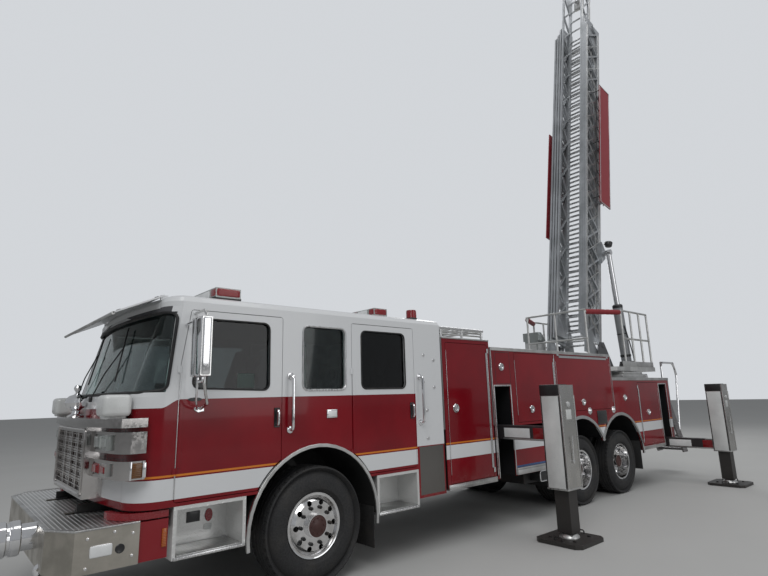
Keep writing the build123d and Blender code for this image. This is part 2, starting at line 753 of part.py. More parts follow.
def grille():
    """The bright face: shelf, grille frame with bars, and the lamp bezels on each side of it."""
    with BuildPart() as piece:
        wrap(150, *SHELF)
        block((FACE_X - 250, FACE_X + 120), (-GRILLE_HALF, GRILLE_HALF), (GRILLE_LOW, GRILLE_HIGH + 10))
        for low, high in LAMP_ROWS:
            with BuildSketch(Plane.XY.offset(low)):
                with BuildLine():
                    plan(FACE_X, CORNER_X, -105)
                make_face()
            extrude(amount=high - low)
        cut((CAB_REAR - 200, AXLE + 1640), (-1500, 1500), (900, 1700))
        cab_block(-SEAT_GAP, CAB_FLOOR_LOW, ROOF_LOW, Mode.SUBTRACT)
        for sign in (1, -1):
            side = across(sign, GRILLE_WIDEST, GRILLE_WIDEST + 300)
            cut((AXLE, FACE_X + 200), side, (GRILLE_LOW, SHELF[1] + 1))
        for low, high in LAMP_ROWS:
            for sign in (1, -1):
                cut((FACE_X - 30, FACE_X + 130), across(sign, 700, 1070), (low + 22, high - 22))
        inner = GRILLE_HALF - 70
        cut((FACE_X + 10, FACE_X + 130), (-inner, inner), (GRILLE_LOW + 60, GRILLE_HIGH - 50))
        pitch = (GRILLE_HIGH - GRILLE_LOW - 110) / 6
        for row in range(1, 6):
            z = GRILLE_LOW + 60 + row * pitch
            block((FACE_X + 60, FACE_X + 100), (-inner, inner), around(z, 9))
        for y in (-inner / 2, 0, inner / 2):
            block((FACE_X + 50, FACE_X + 110), around(y, 14), (GRILLE_LOW + 60, GRILLE_HIGH - 50))
    save(piece, "grille")


def cab_lamps():
    """Headlamps in their bezels, with the light bars, beacons and the low unit on the roof."""
    with BuildPart() as piece:
        for sign in (1, -1):
            for low, high in LAMP_ROWS:
                for middle in (795, 975):
                    glass = (low + 22 + SEAT_GAP, high - 22 - SEAT_GAP)
                    block(
                        (FACE_X - 30 + SEAT_GAP, FACE_X + 60),
                        across(sign, middle - 80, middle + 80),
                        glass,
                    )
            block((AXLE + 820, AXLE + 1030), across(sign, 350, 1050), (ROOF_HIGH, ROOF_HIGH + 35))
            block((AXLE + 800, AXLE + 1050), across(sign, 330, 1070), (ROOF_HIGH + 35, ROOF_HIGH + 130))
            block((AXLE - 1100, AXLE - 900), across(sign, 420, 1050), (ROOF_HIGH, ROOF_HIGH + 110))
            bar((AXLE - 1480, sign * 1080, ROOF_HIGH), (AXLE - 1480, sign * 1080, ROOF_HIGH + 120), 60)
        block((AXLE - 80, AXLE + 620), (-450, 450), (ROOF_HIGH, ROOF_HIGH + 60))
    save(piece, "cab_lamps")


def visor():
    """A sloping sun visor over the windscreen, on five brackets."""
    side_plate(
        (
            (AXLE + 1490, ROOF_HIGH + 8),
            (AXLE + 1900, 2500),
            (AXLE + 1903, 2512),
            (AXLE + 1493, ROOF_HIGH + 22),
        ),
        (-1000, 1000),
    )
    for y in (-980, -490, 0, 490, 980):
        block((AXLE + 1460, AXLE + 1520), around(y, 15), (ROOF_HIGH - 30, ROOF_HIGH + 16))


def interior():
    """Seats, the dashboard and the steering wheel, as they show through the glass."""
    with BuildPart() as piece:
        side_plate(
            (
                (FACE_X - 420, 1500),
                (FACE_X - CAB_WALL - 110, 1560),
                (FACE_X - CAB_WALL - 110, 1800),
                (FACE_X - 300, 1800),
                (FACE_X - 420, 1700),
            ),
            (-1000, 1000),
        )
        block((FACE_X - 300, FACE_X - CAB_WALL - 110), (-900, 900), (CAB_FLOOR, 1600))
        bar((FACE_X - 380, 640, 1600), (FACE_X - 560, 640, 1720), 25)
        with BuildSketch(Plane((FACE_X - 560, 640, 1720), z_dir=(-0.6, 0, 0.8))):
            Circle(230)
            Circle(205, mode=Mode.SUBTRACT)
            Rectangle(420, 40)
        extrude(amount=22)
        for x, back_x, ys in (
            (AXLE + 720, AXLE + 480, (-690, 690)),
            (AXLE - 1250, AXLE - 1560, (-800, -270, 270, 800)),
        ):
            for y in ys:
                block(around(x, 240), around(y, 230), (1330, 1440))
                block((x - 180, x + 120), around(y, 160), (CAB_FLOOR, 1330))
                side_plate(
                    (
                        (back_x + 60, 1440),
                        (back_x + 150, 1440),
                        (back_x + 90, 2150),
                        (back_x, 2150),
                    ),
                    around(y, 220),
                )
        for side, sign in SIDES:
            room = across(sign, WELL_INNER_Y - WELL_LINER - SEAT_GAP, HALF_WIDTH)
            well(AXLE, FRONT_WELL_RADIUS + WELL_LINER + SEAT_GAP, room)
    save(piece, "cab_interior")


SLOT_HALF = COVER_WIDTH / 2 + 15
SLOT_INNER = 890.0
SLOT_TOP = 1860.0
TRENCH_HALF = 560.0


PUMP_DOOR = (
    (PUMP_FRONT - 60, PUMP_LOW + 50),
    (PUMP_FRONT - 60, PUMP_HIGH - 60),
    (PUMP_REAR + 50, PUMP_HIGH - 60),
    (PUMP_REAR + 50, PUMP_LOW + 50),
)


def pump_module():
    """A hollow module behind the cab, with a tall opening on each side and a rack on top."""
    with BuildPart() as piece:
        block((PUMP_REAR, PUMP_FRONT), (-HALF_WIDTH, HALF_WIDTH), (PUMP_LOW, PUMP_HIGH))
        for side, sign in SIDES:
            inside = across(sign, 80, HALF_WIDTH - PANEL)
            cut((PUMP_REAR + PANEL, PUMP_FRONT - PANEL), inside, (1110, PUMP_HIGH - PANEL))
            low = across(sign, RAIL_OUT + 90, HALF_WIDTH - PANEL)
            cut((PUMP_REAR + PANEL, PUMP_FRONT - PANEL), low, (PUMP_LOW + PANEL, 1200))
            outline_cut(PUMP_DOOR, across(sign, HALF_WIDTH - PANEL - 2, HALF_WIDTH + 1), DOOR_GAP, 12)
        cut(
            (PUMP_REAR - 1, PUMP_FRONT + 1),
            (-RAIL_OUT - 40, RAIL_OUT + 40),
            (PUMP_LOW - 1, RAIL_HIGH + SEAT_GAP),
        )
        for sign in (1, -1):
            locker_hinge("pump", sign, PUMP_DOOR, False)
            for x in (PUMP_REAR + 60, (PUMP_REAR + PUMP_FRONT) / 2, PUMP_FRONT - 60):
                bar((x, sign * 1150, PUMP_HIGH), (x, sign * 1150, PUMP_HIGH + 150), 16)
            bar(
                (PUMP_REAR + 30, sign * 1150, PUMP_HIGH + 135),
                (PUMP_FRONT - 30, sign * 1150, PUMP_HIGH + 135),
                20,
            )
    save(piece, "pump_module")


LOCKER_LOW, LOCKER_HIGH = 1350.0, 2325.0
LOCKER_DEPTH = 640.0
LOCKER_SPLIT = AXLE - 4430.0
UPPER_LOW = 1450.0
SLOT_MARGIN = 145.0


def locker_front(lane):
    """The front edge of the locker behind an outrigger's slot."""
    return lane - SLOT_HALF - SLOT_MARGIN


def locker_outline(front, rear, low, high):
    return ((front, low), (front, high), (rear, high), (rear, low))


TRENCH_HIGH = 1400.0
TAIL_LOCKER_SHORT = 40.0
REAR_WELL_Z = REAR_TYRE_RADIUS + 20
PEDESTAL_RADIUS = 450.0


def body():
    """The body behind the pump: slots, lockers and a hose bed, then the low tail under the turntable."""
    wide = HALF_WIDTH + 1
    with BuildPart() as piece:
        block((BODY_REAR, BODY_FRONT), (-HALF_WIDTH, HALF_WIDTH), (BODY_LOW, BODY_HIGH))
        block((TAIL_REAR, BODY_REAR), (-HALF_WIDTH, HALF_WIDTH), (BODY_LOW, TAIL_HIGH))
        cut(
            (REAR_LANE - BEAM_WIDTH, BODY_FRONT + 1),
            (-TRENCH_HALF, TRENCH_HALF),
            (BODY_LOW - 1, TRENCH_HIGH),
        )
        cut((BODY_REAR + 400, BODY_FRONT - 500), (-500, 500), (1900, BODY_HIGH + 1))
        bar((TURN_X, 0, RAIL_HIGH), (TURN_X, 0, TAIL_HIGH + 1), PEDESTAL_RADIUS + 60, Mode.SUBTRACT)
        beam_z = (FRONT_BEAM_LOW - 60, FRONT_BEAM_LOW + BEAM_HEIGHT + 70)
        cut((FRONT_LANE - LANE_STEP - BEAM_WIDTH, FRONT_LANE + BEAM_WIDTH), (-1000, 1000), beam_z)
        beam_z = (BODY_LOW - 1, REAR_BEAM_LOW + BEAM_HEIGHT + 70)
        cut((REAR_LANE - BEAM_WIDTH, RAIL_REAR + 20), (-1000, 1000), beam_z)
        for row in OUTRIGGERS:
            for side, sign, lane in lanes(row):
                slot = across(sign, SLOT_INNER, wide)
                cut(around(lane, SLOT_HALF), slot, (BODY_LOW - 1, SLOT_TOP))
        for side, sign, lane in lanes(OUTRIGGERS[0]):
            recess_z = (FRONT_BEAM_LOW - 25, FRONT_BEAM_LOW + BEAM_HEIGHT - 20)
            cut((LOCKER_SPLIT, lane), across(sign, 0, wide), recess_z)
            low = across(sign, TRENCH_HALF - 1, HALF_WIDTH - PANEL)
            cut((LOCKER_SPLIT, locker_front(lane) + 20), low, (BODY_LOW - 1, FRONT_BEAM_LOW - 25))
        for name, sign, outline in lockers():
            front, rear = outline[0][0], outline[2][0]
            low, high = outline[0][1], outline[1][1]
            inner = HALF_WIDTH - LOCKER_DEPTH + (TAIL_LOCKER_SHORT if name == "tail" else 0)
            cut((rear - 10, front + 10), across(sign, inner, HALF_WIDTH - PANEL), (low - 10, high + 10))
            outline_cut(outline, across(sign, HALF_WIDTH - PANEL - 2, wide), DOOR_GAP, 12)
        for x in TANDEM:
            well(x, REAR_WELL_RADIUS, (-wide, wide), REAR_WELL_Z)
        cut((TANDEM[1] - 720, TANDEM[0] + REAR_WELL_RADIUS), (-wide, wide), (BODY_LOW - 1, 900))
        for sign in (1, -1):
            bearer_x = (TANDEM[1] - 360, FRONT_LANE - LANE_STEP - 2 * BEAM_WIDTH)
            block(
                bearer_x,
                across(sign, RAIL_OUT - 110, RAIL_OUT - 40),
                (TORQUE_BOX_HIGH + SEAT_GAP, TRENCH_HIGH + 1),
            )
            for name, door_sign, outline in lockers():
                if door_sign == sign:
                    locker_hinge(name, sign, outline, False)
        arches()
        module_joints()
    for name, reach in (("body", (BODY_REAR, BODY_FRONT)), ("tail_body", (TAIL_REAR, BODY_REAR))):
        with BuildPart() as share:
            add(piece.part)
            block(reach, (-HALF_WIDTH - 100, HALF_WIDTH + 100), (0, BODY_HIGH), Mode.INTERSECT)
        save(share, name)


def module_joints():
    """The joints round the middle module, and those between each side's slots, lockers and wheel bay."""
    height = (BODY_LOW - 1, BODY_HIGH + 1)
    for (side, sign, lane), (same_side, same_sign, tail_lane) in zip(
        lanes(OUTRIGGERS[0]),
        lanes(OUTRIGGERS[1]),
    ):
        cut((TAIL_REAR - 1, BODY_FRONT + 1), across(sign, TRENCH_HALF - SEAT_GAP, TRENCH_HALF), height)
        for x in (
            (lane - SLOT_HALF + locker_front(lane)) / 2,
            LOCKER_SPLIT,
            TANDEM[1] - REAR_WELL_RADIUS - 40,
            tail_lane + SLOT_HALF + 25,
        ):
            cut(around(x, SEAT_GAP / 2), across(sign, TRENCH_HALF - 1, HALF_WIDTH + 30), height)


def lockers():
    """Each locker's name, side and opening, as the body's cuts and its doors both use it."""
    rows = []
    for (side, sign, lane), (same_side, same_sign, tail_lane) in zip(
        lanes(OUTRIGGERS[0]),
        lanes(OUTRIGGERS[1]),
    ):
        first = locker_front(lane)
        rows.append(("locker", sign, locker_outline(first, LOCKER_SPLIT + 30, LOCKER_LOW, LOCKER_HIGH)))
        rows.append(
            ("upper", sign, locker_outline(LOCKER_SPLIT - 30, BODY_REAR + 30, UPPER_LOW, LOCKER_HIGH)),
        )
        rows.append(("tail", sign, locker_outline(TANDEM[1] - 860, tail_lane + SLOT_HALF + 60, 735, 1885)))
    return rows


HINGE_LEAF = 32.0
HINGE_END = 110.0


def upright_hinge(x, sign, inward, low, high, on_door):
    """One side of a long hinge: the door's barrel, or the frame's short ones above and below it."""
    spans = ((low, high),) if on_door else ((low - 60, low - SEAT_GAP), (high + SEAT_GAP, high + 60))
    reach = inward * HINGE_LEAF if on_door else -inward * HINGE_LEAF
    for bottom, top in spans:
        bar((x, sign * DOOR_HINGE_Y, bottom), (x, sign * DOOR_HINGE_Y, top), HINGE_RADIUS)
        block((x, x + reach), across(sign, HALF_WIDTH, DOOR_HINGE_Y), (bottom, top))


def level_hinge(z, sign, rear, front, on_door):
    """The same hinge lying along a door's top edge."""
    spans = ((rear, front),) if on_door else ((rear - 60, rear - SEAT_GAP), (front + SEAT_GAP, front + 60))
    reach = -HINGE_LEAF if on_door else HINGE_LEAF
    for start, end in spans:
        bar((start, sign * DOOR_HINGE_Y, z), (end, sign * DOOR_HINGE_Y, z), HINGE_RADIUS)
        block((start, end), across(sign, HALF_WIDTH, DOOR_HINGE_Y), (z, z + reach))


def locker_hinge(name, sign, outline, on_door):
    """The hinge of one locker door, on its rear, top or front edge."""
    (front, low), (rear, high) = outline[0], outline[2]
    if name == "upper":
        level_hinge(high - HINGE_RADIUS, sign, rear + HINGE_END, front - HINGE_END, on_door)
    elif name == "tail":
        upright_hinge(front - HINGE_RADIUS, sign, -1, low + HINGE_END, high - HINGE_END, on_door)
    else:
        upright_hinge(rear + HINGE_RADIUS, sign, 1, low + HINGE_END, high - HINGE_END, on_door)


def body_door(name, sign, outline, latch):
    """A slab that fills its opening flush, with a ring latch and its side of the hinge."""
    with BuildPart() as piece:
        outline_cut(outline, across(sign, HALF_WIDTH - PANEL, HALF_WIDTH), 0, 10, Mode.ADD)
        well(latch[0], 48, across(sign, HALF_WIDTH, HALF_WIDTH + 8), latch[1], Mode.ADD)
        locker_hinge(name.split("_")[0], sign, outline, True)
    save(piece, name)


def body_doors():
    """A door for each locker and for each side of the pump module."""
    for side, sign in SIDES:
        body_door(f"pump_door_{side}", sign, PUMP_DOOR, (PUMP_FRONT - 200, 1590))
    latches = {"locker": (-350, 170), "upper": (-750, 130), "tail": (-360, 595)}
    for name, sign, outline in lockers():
        (front, low), (along_x, up) = outline[0], latches[name]
        side = "left" if sign > 0 else "right"
        body_door(f"{name}_door_{side}", sign, outline, (front + along_x, low + up))


def arch(x, start, end, inner, outer, z, y):
    """A bent strip round a wheel opening, between two angles above the front horizontal."""
    with BuildSketch(Plane.XZ.offset(-max(y))) as strip:
        with BuildLine():
            CenterArc((x, z), outer, start, end - start)
            CenterArc((x, z), inner, start, end - start)
            for angle in (start, end):
                c, s = math.cos(math.radians(angle)), math.sin(math.radians(angle))
                Line((x + inner * c, z + inner * s), (x + outer * c, z + outer * s))
        make_face()
    extrude(strip.sketch, amount=max(y) - min(y))


def arches():
    """Polished strips round the rear wheel openings."""
    inner, outer = REAR_WELL_RADIUS - 30, REAR_WELL_RADIUS + 20
    meet = math.degrees(math.acos(TANDEM_SPACING / 2 / inner))
    for side, sign in SIDES:
        y = across(sign, HALF_WIDTH - 5, HALF_WIDTH + 22)
        arch(TANDEM[0], 0, 180 - meet, inner, outer, REAR_WELL_Z, y)
        arch(TANDEM[1], meet, 176, inner, outer, REAR_WELL_Z, y)


def outrigger_frames():
    """The torque box on the frame, with both outrigger boxes and the turntable's pedestal."""
    with BuildPart() as piece:
        for row in OUTRIGGERS:
            stations = [lane for side, sign, lane in lanes(row)]
            low = row[3]
            half = BEAM_WIDTH / 2 + LANE_GAP + BOX_WALL
            block(
                (min(stations) - half, max(stations) + half),
                (-BOX_HALF, BOX_HALF),
                (low - LANE_GAP - BOX_WALL, low + BEAM_HEIGHT + LANE_GAP + BOX_WALL),
            )
            for lane in stations:
                for gap, end in ((LANE_GAP, BOX_HALF - RUNNER), (SEAT_GAP, BOX_HALF + 1)):
                    half = BEAM_WIDTH / 2 + gap
                    cut(around(lane, half), (-end, end), (low - gap, low + BEAM_HEIGHT + gap))
        rear_end = REAR_LANE - BEAM_WIDTH / 2 - LANE_GAP - BOX_WALL
        wide = (-RAIL_OUT, RAIL_OUT)
        block((rear_end, FRONT_LANE + BEAM_WIDTH / 2), wide, (RAIL_HIGH, TORQUE_BOX_HIGH))
        block((rear_end, RAIL_REAR), wide, (REAR_BEAM_LOW + BEAM_HEIGHT + LANE_GAP, RAIL_HIGH))
        front_rear = FRONT_LANE - LANE_STEP - BEAM_WIDTH / 2
        block(
            (front_rear, FRONT_LANE + BEAM_WIDTH / 2),
            wide,
            (TORQUE_BOX_HIGH, FRONT_BEAM_LOW - LANE_GAP - BOX_WALL),
        )
        bar((TURN_X, 0, RAIL_HIGH), (TURN_X, 0, DECK_LOW - 50), PEDESTAL_RADIUS)
        bar((TURN_X, 0, DECK_LOW - 80), (TURN_X, 0, DECK_LOW - 50), PEDESTAL_RADIUS + 40)
    save(piece, "torque_box")


def outriggers():
    """Four beams with their jack covers, and the legs that slide in them down to the pads."""
    for row in OUTRIGGERS:
        place = row[0]
        beam_low, reach, travel, cover_low, cover_high = row[3:]
        for side, sign, lane in lanes(row):
            cover_in, cover_out = reach - COVER_DEPTH / 2, reach + COVER_DEPTH / 2
            hole = LEG_SIZE / 2 + LANE_GAP
            with BuildPart() as beam:
                inner_end = travel - SLOT_INNER
                block(
                    around(lane, BEAM_WIDTH / 2),
                    across(sign, inner_end, cover_in + 30),
                    (beam_low, beam_low + BEAM_HEIGHT),
                )
                block(
                    around(lane, COVER_WIDTH / 2),
                    across(sign, cover_in, cover_out),
                    (cover_low, cover_high),
                )
                hole_z = (cover_low + RUNNER, cover_high - 30)
                cut(around(lane, hole), across(sign, reach - hole, reach + hole), hole_z)
                hole = LEG_SIZE / 2 + SEAT_GAP
                hole_z = (cover_low - 1, cover_low + RUNNER + 1)
                cut(around(lane, hole), across(sign, reach - hole, reach + hole), hole_z)
            save(beam, f"{place}_outrigger_{side}")
            with BuildPart() as leg:
                top = cover_low + COVER_DEPTH * 2
                block(
                    around(lane, LEG_SIZE / 2),
                    across(sign, reach - LEG_SIZE / 2, reach + LEG_SIZE / 2),
                    (PAD_THICK + 60, top),
                )
                bar((lane, sign * reach, PAD_THICK), (lane, sign * reach, PAD_THICK + 62), LEG_SWIVEL)
                half = PAD_SIZE / 2
                with BuildSketch(Plane.XY) as pad:
                    with Locations((lane, sign * reach)):
                        Rectangle(PAD_SIZE, PAD_SIZE)
                    chamfer(pad.vertices(), 60)
                extrude(pad.sketch, amount=PAD_THICK)
            save(leg, f"{place}_leg_{side}")


STAIR_RAILS = (
    # y, top
    (500.0, 2085.0),
    (1095.0, 2310.0),
)


def stairs():
    """The access stair at the rear, with its grab rails; the inner one stays under the turning deck."""
    with BuildPart() as piece:
        block((TAIL_REAR - 60, TAIL_REAR), (480, 600), (1790, 1880))
        for y in (560, 1080):
            side_plate(
                (
                    (TAIL_REAR, 1880),
                    (TAIL_REAR - 60, 1880),
                    (TAIL_REAR - 870, 420),
                    (TAIL_REAR - 640, 420),
                    (TAIL_REAR, 1600),
                ),
                (y, y + 30),
            )
        for step in range(5):
            z = 460 + step * 290
            x = TAIL_REAR - 830 + step * 161
            block((x, x + 180), (570, 1100), (z, z + 35))
        for y, top in STAIR_RAILS:
            rail(
                (
                    (TAIL_REAR - 60, y, 1840),
                    (TAIL_REAR - 60, y, top),
                    (TAIL_REAR - 700, y, top),
                    (TAIL_REAR - 825, y, top - 230),
                    (TAIL_REAR - 590, y, 900),
                ),
                19,
            )
    save(piece, "rear_stair")


RAIL_HEIGHT = 1130.0
DECK = (
    # forward of the turning axis, half width
    (1170.0, 700.0),
    (850.0, 1050.0),
    (-860.0, 1050.0),
)
RAIL_RADIUS = 20.0
HEEL_PLATE_Y = (475.0, 505.0)
FOOT_X, FOOT_Z = HEEL_X - FOOT_AHEAD, HEEL_Z - FOOT_BELOW
HEEL_PIN, FOOT_PIN, FOOT_PLATE_Y = 45.0, 35.0, 108.0


def turntable():
    """The turning deck with its rails, console, heel brackets and cylinder feet."""
    with BuildPart() as piece:
        with BuildSketch(Plane.XY.offset(DECK_LOW)) as deck:
            with BuildLine():
                points = [(TURN_X + x, y) for x, y in DECK]
                points += [(x, -y) for x, y in reversed(points)]
                Polyline(*points, close=True)
            make_face()
        extrude(deck.sketch, amount=DECK_HIGH - DECK_LOW)
        bar((TURN_X, 0, DECK_LOW - 50 + SEAT_GAP), (TURN_X, 0, DECK_LOW), PEDESTAL_RADIUS + 40)
        for sign in (1, -1):
            side_plate(
                (
                    (HEEL_X + 330, DECK_HIGH - 5),
                    (HEEL_X + 70, HEEL_Z + 70),
                    (HEEL_X - 70, HEEL_Z + 70),
                    (HEEL_X - 420, DECK_HIGH - 5),
                ),
                across(sign, *HEEL_PLATE_Y),
            )
            well(HEEL_X, HEEL_PIN, across(sign, 420, 520), HEEL_Z, Mode.ADD)
            for y in (CYLINDER_Y - FOOT_PLATE_Y - 20, CYLINDER_Y + FOOT_PLATE_Y):
                side_plate(
                    (
                        (FOOT_X + 140, DECK_HIGH - 5),
                        (FOOT_X + 45, FOOT_Z + 45),
                        (FOOT_X - 45, FOOT_Z + 45),
                        (FOOT_X - 140, DECK_HIGH - 5),
                    ),
                    across(sign, y, y + 20),
                )
            pin_y = across(sign, CYLINDER_Y - FOOT_PLATE_Y - 24, CYLINDER_Y + FOOT_PLATE_Y + 24)
            well(FOOT_X, FOOT_PIN, pin_y, FOOT_Z, Mode.ADD)
        deck_rails()
        block((TURN_X + 700, TURN_X + 980), (-860, -560), (DECK_HIGH - 5, DECK_HIGH + 650))
        side_plate(
            (
                (TURN_X + 700, DECK_HIGH + 640),
                (TURN_X + 980, DECK_HIGH + 640),
                (TURN_X + 980, DECK_HIGH + 820),
                (TURN_X + 860, DECK_HIGH + 820),
            ),
            (-900, -520),
        )
    save(piece, "turntable")


def deck_rails():
    """Posts and two rails: across the front, and along each side behind a drop bar."""
    top, middle = DECK_HIGH + RAIL_HEIGHT, DECK_HIGH + RAIL_HEIGHT / 2
    front_x, side_y = TURN_X + 1130, 1010.0
    for y in (-660, 0, 660):
        bar((front_x, y, DECK_HIGH - 10), (front_x, y, top), RAIL_RADIUS)
    for z in (middle, top):
        rail(((front_x, -680, z), (front_x, 680, z)), RAIL_RADIUS)
    for sign in (1, -1):
        stations = (TURN_X + 360, TURN_X - 40, TURN_X - 440, TURN_X - 820)
        for x in stations:
            bar((x, sign * side_y, DECK_HIGH - 10), (x, sign * side_y, top), RAIL_RADIUS)
        for z in (middle, top):
            rail(((stations[0], sign * side_y, z), (stations[-1], sign * side_y, z)), RAIL_RADIUS)
        bar((front_x, sign * 660, top - 40), (stations[0], sign * side_y, top - 40), 34)


SECTION_FLOOR = 45.0
SECTIONS = (
    # name, half width, start and end along the ladder, top of the hand rail, first rung
    ("base_section", 450.0, -250.0, 8500.0, 560.0, 60.0),
    ("second_section", 395.0, 60.0, 8620.0, 540.0, 149.0),
    ("third_section", 340.0, 120.0, 8800.0, 520.0, 238.0),
    ("fly_section", 285.0, 180.0, 10200.0, 500.0, 327.0),
)
SECTION_LOW = -70.0
SECTION_WALL = 40.0
RUNG_PITCH = 356.0
RUNG_SIZE = 32.0
CHORD_LOW, CHORD_HIGH = 110.0, 60.0
BRACE = 28.0


def along(s, up):
    """A point of the ladder's plane at rest, in x and z."""
    angle = math.radians(LADDER_ANGLE)
    x = HEEL_X - s * math.cos(angle) + up * math.sin(angle)
    return x, HEEL_Z + s * math.sin(angle) + up * math.cos(angle)


def ladder_plane(y):
    """A plane along the ladder: its x runs up the ladder, its y out of the climbing side."""
    angle = math.radians(LADDER_ANGLE)
    return Plane((HEEL_X, y, HEEL_Z), x_dir=(-math.cos(angle), 0, math.sin(angle)), z_dir=(0, 1, 0))


def ladder_block(s, y, up):
    """A box in the ladder's own directions."""
    with BuildSketch(ladder_plane(min(y))) as face:
        with Locations(((s[0] + s[1]) / 2, (up[0] + up[1]) / 2)):
            Rectangle(abs(s[1] - s[0]), abs(up[1] - up[0]))
    extrude(face.sketch, amount=max(y) - min(y))


def ladder_sections():
    """Four nested sections: two trussed sides joined by rungs, each section inside the last."""
    for number, (name, half, start, end, top, first) in enumerate(SECTIONS):
        low = SECTION_LOW + number * SECTION_FLOOR
        with BuildPart() as piece:
            for sign in (1, -1):
                y = min(across(sign, half, half - SECTION_WALL))
                with BuildSketch(ladder_plane(y)) as truss:
                    with BuildLine():
                        Polyline(
                            (start, low),
                            (end, low),
                            (end, top - 80),
                            (end - 120, top),
                            (start, top),
                            close=True,
                        )
                    make_face()
                    panel_low, panel_high = low + CHORD_LOW, top - CHORD_HIGH
                    s = start + 60
                    while s + RUNG_PITCH * 2 < end - 100:
                        middle = s + RUNG_PITCH
                        with BuildLine():
                            Polyline(
                                (s + BRACE, panel_low),
                                (middle * 2 - s - BRACE, panel_low),
                                (middle, panel_high - BRACE),
                                close=True,
                            )
                        make_face(mode=Mode.SUBTRACT)
                        with BuildLine():
                            Polyline(
                                (middle + BRACE, panel_high),
                                (middle + 2 * RUNG_PITCH - BRACE, panel_high),
                                (middle + RUNG_PITCH, panel_low + BRACE),
                                close=True,
                            )
                        make_face(mode=Mode.SUBTRACT)
                        s += 2 * RUNG_PITCH
                extrude(truss.sketch, amount=SECTION_WALL)
            rungs = int((end - first - 60) // RUNG_PITCH) + 1
            with BuildSketch(ladder_plane(SECTION_WALL + SEAT_GAP - half)) as steps:
                for rung in range(rungs):
                    with Locations((first + rung * RUNG_PITCH, low + RUNG_SIZE / 2 + 2)):
                        Rectangle(RUNG_SIZE, RUNG_SIZE)
            extrude(steps.sketch, amount=2 * (half - SECTION_WALL - SEAT_GAP))
            if number == 0:
                base_brackets(half)
            if number > 0:
                outer_half = SECTIONS[number - 1][1]
                for sign in (1, -1):
                    shoe_y = across(sign, half - 5, outer_half - SECTION_WALL - SEAT_GAP)
                    ladder_block((start, start + 220), shoe_y, (low + 5, low + 60))
            if number < len(SECTIONS) - 1:
                inner_half = SECTIONS[number + 1][1]
                for sign in (1, -1):
                    pad_s = (first + (rungs - 1) * RUNG_PITCH + RUNG_SIZE, end - 20)
                    side_y = across(sign, inner_half + SEAT_GAP, half - SECTION_WALL + 5)
                    under_y = across(sign, inner_half - 35, half - SECTION_WALL + 5)
                    ladder_block(pad_s, side_y, (low + 10, low + 100))
                    ladder_block(pad_s, under_y, (low + 5, low + SECTION_FLOOR - SEAT_GAP))
        save(piece, name)


PANELS = (
    # side, start and end along the ladder, low and high edge
    (1, 3250.0, 6500.0, -200.0, 250.0),
    (-1, 2600.0, 5500.0, -100.0, 450.0),
)
PANEL_Y, PANEL_THICK = 600.0, 20.0
LUG_OUT, LUG_BOSS = 530.0, 60.0


def base_brackets(half):
    """The heel's eyes, the lift cylinders' brackets and the blank side panels on their brackets."""
    for sign in (1, -1):
        x, z = along(LUG_ALONG, LUG_UP)
        with BuildSketch(ladder_plane(min(across(sign, half - 5, LUG_OUT)))) as lug:
            with BuildLine():
                Polyline(
                    (LUG_ALONG - 260, 40),
                    (LUG_ALONG + 260, 40),
                    (LUG_ALONG + 90, LUG_UP - 90),
                    (LUG_ALONG - 90, LUG_UP - 90),
                    close=True,
                )
            make_face()
        extrude(lug.sketch, amount=LUG_OUT - half + 5)
        well(x, LUG_BOSS, across(sign, LUG_OUT - 5, CYLINDER_Y - EYE_HALF - SEAT_GAP), z, Mode.ADD)
        well(HEEL_X, HEEL_PIN + SEAT_GAP, across(sign, half - SECTION_WALL - 5, half + 20), HEEL_Z)
    for sign, start, end, low, high in PANELS:
        ladder_block((start, end), across(sign, PANEL_Y, PANEL_Y + PANEL_THICK), (low, high))
        for s in (start + 150, (start + end) / 2, end - 150):
            bracket_up = (max(low, SECTION_LOW), SECTION_LOW + CHORD_LOW)
            ladder_block(around(s, 30), across(sign, half - 5, PANEL_Y + 5), bracket_up)


BARREL_RADIUS, ROD_RADIUS = 100.0, 55.0
EYE_RADIUS, EYE_HALF = 62.0, 60.0
BORE_START, BARREL_LENGTH, ROD_TAIL = 85.0, 1255.0, 1150.0


def lift_cylinders():
    """The pair of barrels on the turntable's feet and the pair of rods that push the ladder."""
    lug_x, lug_z = along(LUG_ALONG, LUG_UP)
    run = Vector(lug_x - FOOT_X, 0, lug_z - FOOT_Z)
    unit = run.normalized()

    def at(distance, y):
        return (FOOT_X + unit.X * distance, y, FOOT_Z + unit.Z * distance)

    with BuildPart() as barrels:
        for sign in (1, -1):
            y = sign * CYLINDER_Y
            well(
                FOOT_X,
                EYE_RADIUS + 10,
                across(sign, CYLINDER_Y - EYE_HALF, CYLINDER_Y + EYE_HALF),
                FOOT_Z,
                Mode.ADD,
            )
            bar(at(0, y), at(BARREL_LENGTH, y), BARREL_RADIUS)
            bar(at(BORE_START, y), at(BARREL_LENGTH + 1, y), ROD_RADIUS + SEAT_GAP, Mode.SUBTRACT)
            well(
                FOOT_X,
                FOOT_PIN + SEAT_GAP,
                across(sign, CYLINDER_Y - FOOT_PLATE_Y, CYLINDER_Y + FOOT_PLATE_Y),
                FOOT_Z,
            )
    save(barrels, "lift_barrels")
    with BuildPart() as rods:
        for sign in (1, -1):
            y = sign * CYLINDER_Y
            bar(at(ROD_TAIL, y), at(run.length, y), ROD_RADIUS)
            well(
                lug_x,
                EYE_RADIUS,
                across(sign, CYLINDER_Y - EYE_HALF, CYLINDER_Y + EYE_HALF),
                lug_z,
                Mode.ADD,
            )
    save(rods, "lift_rods")


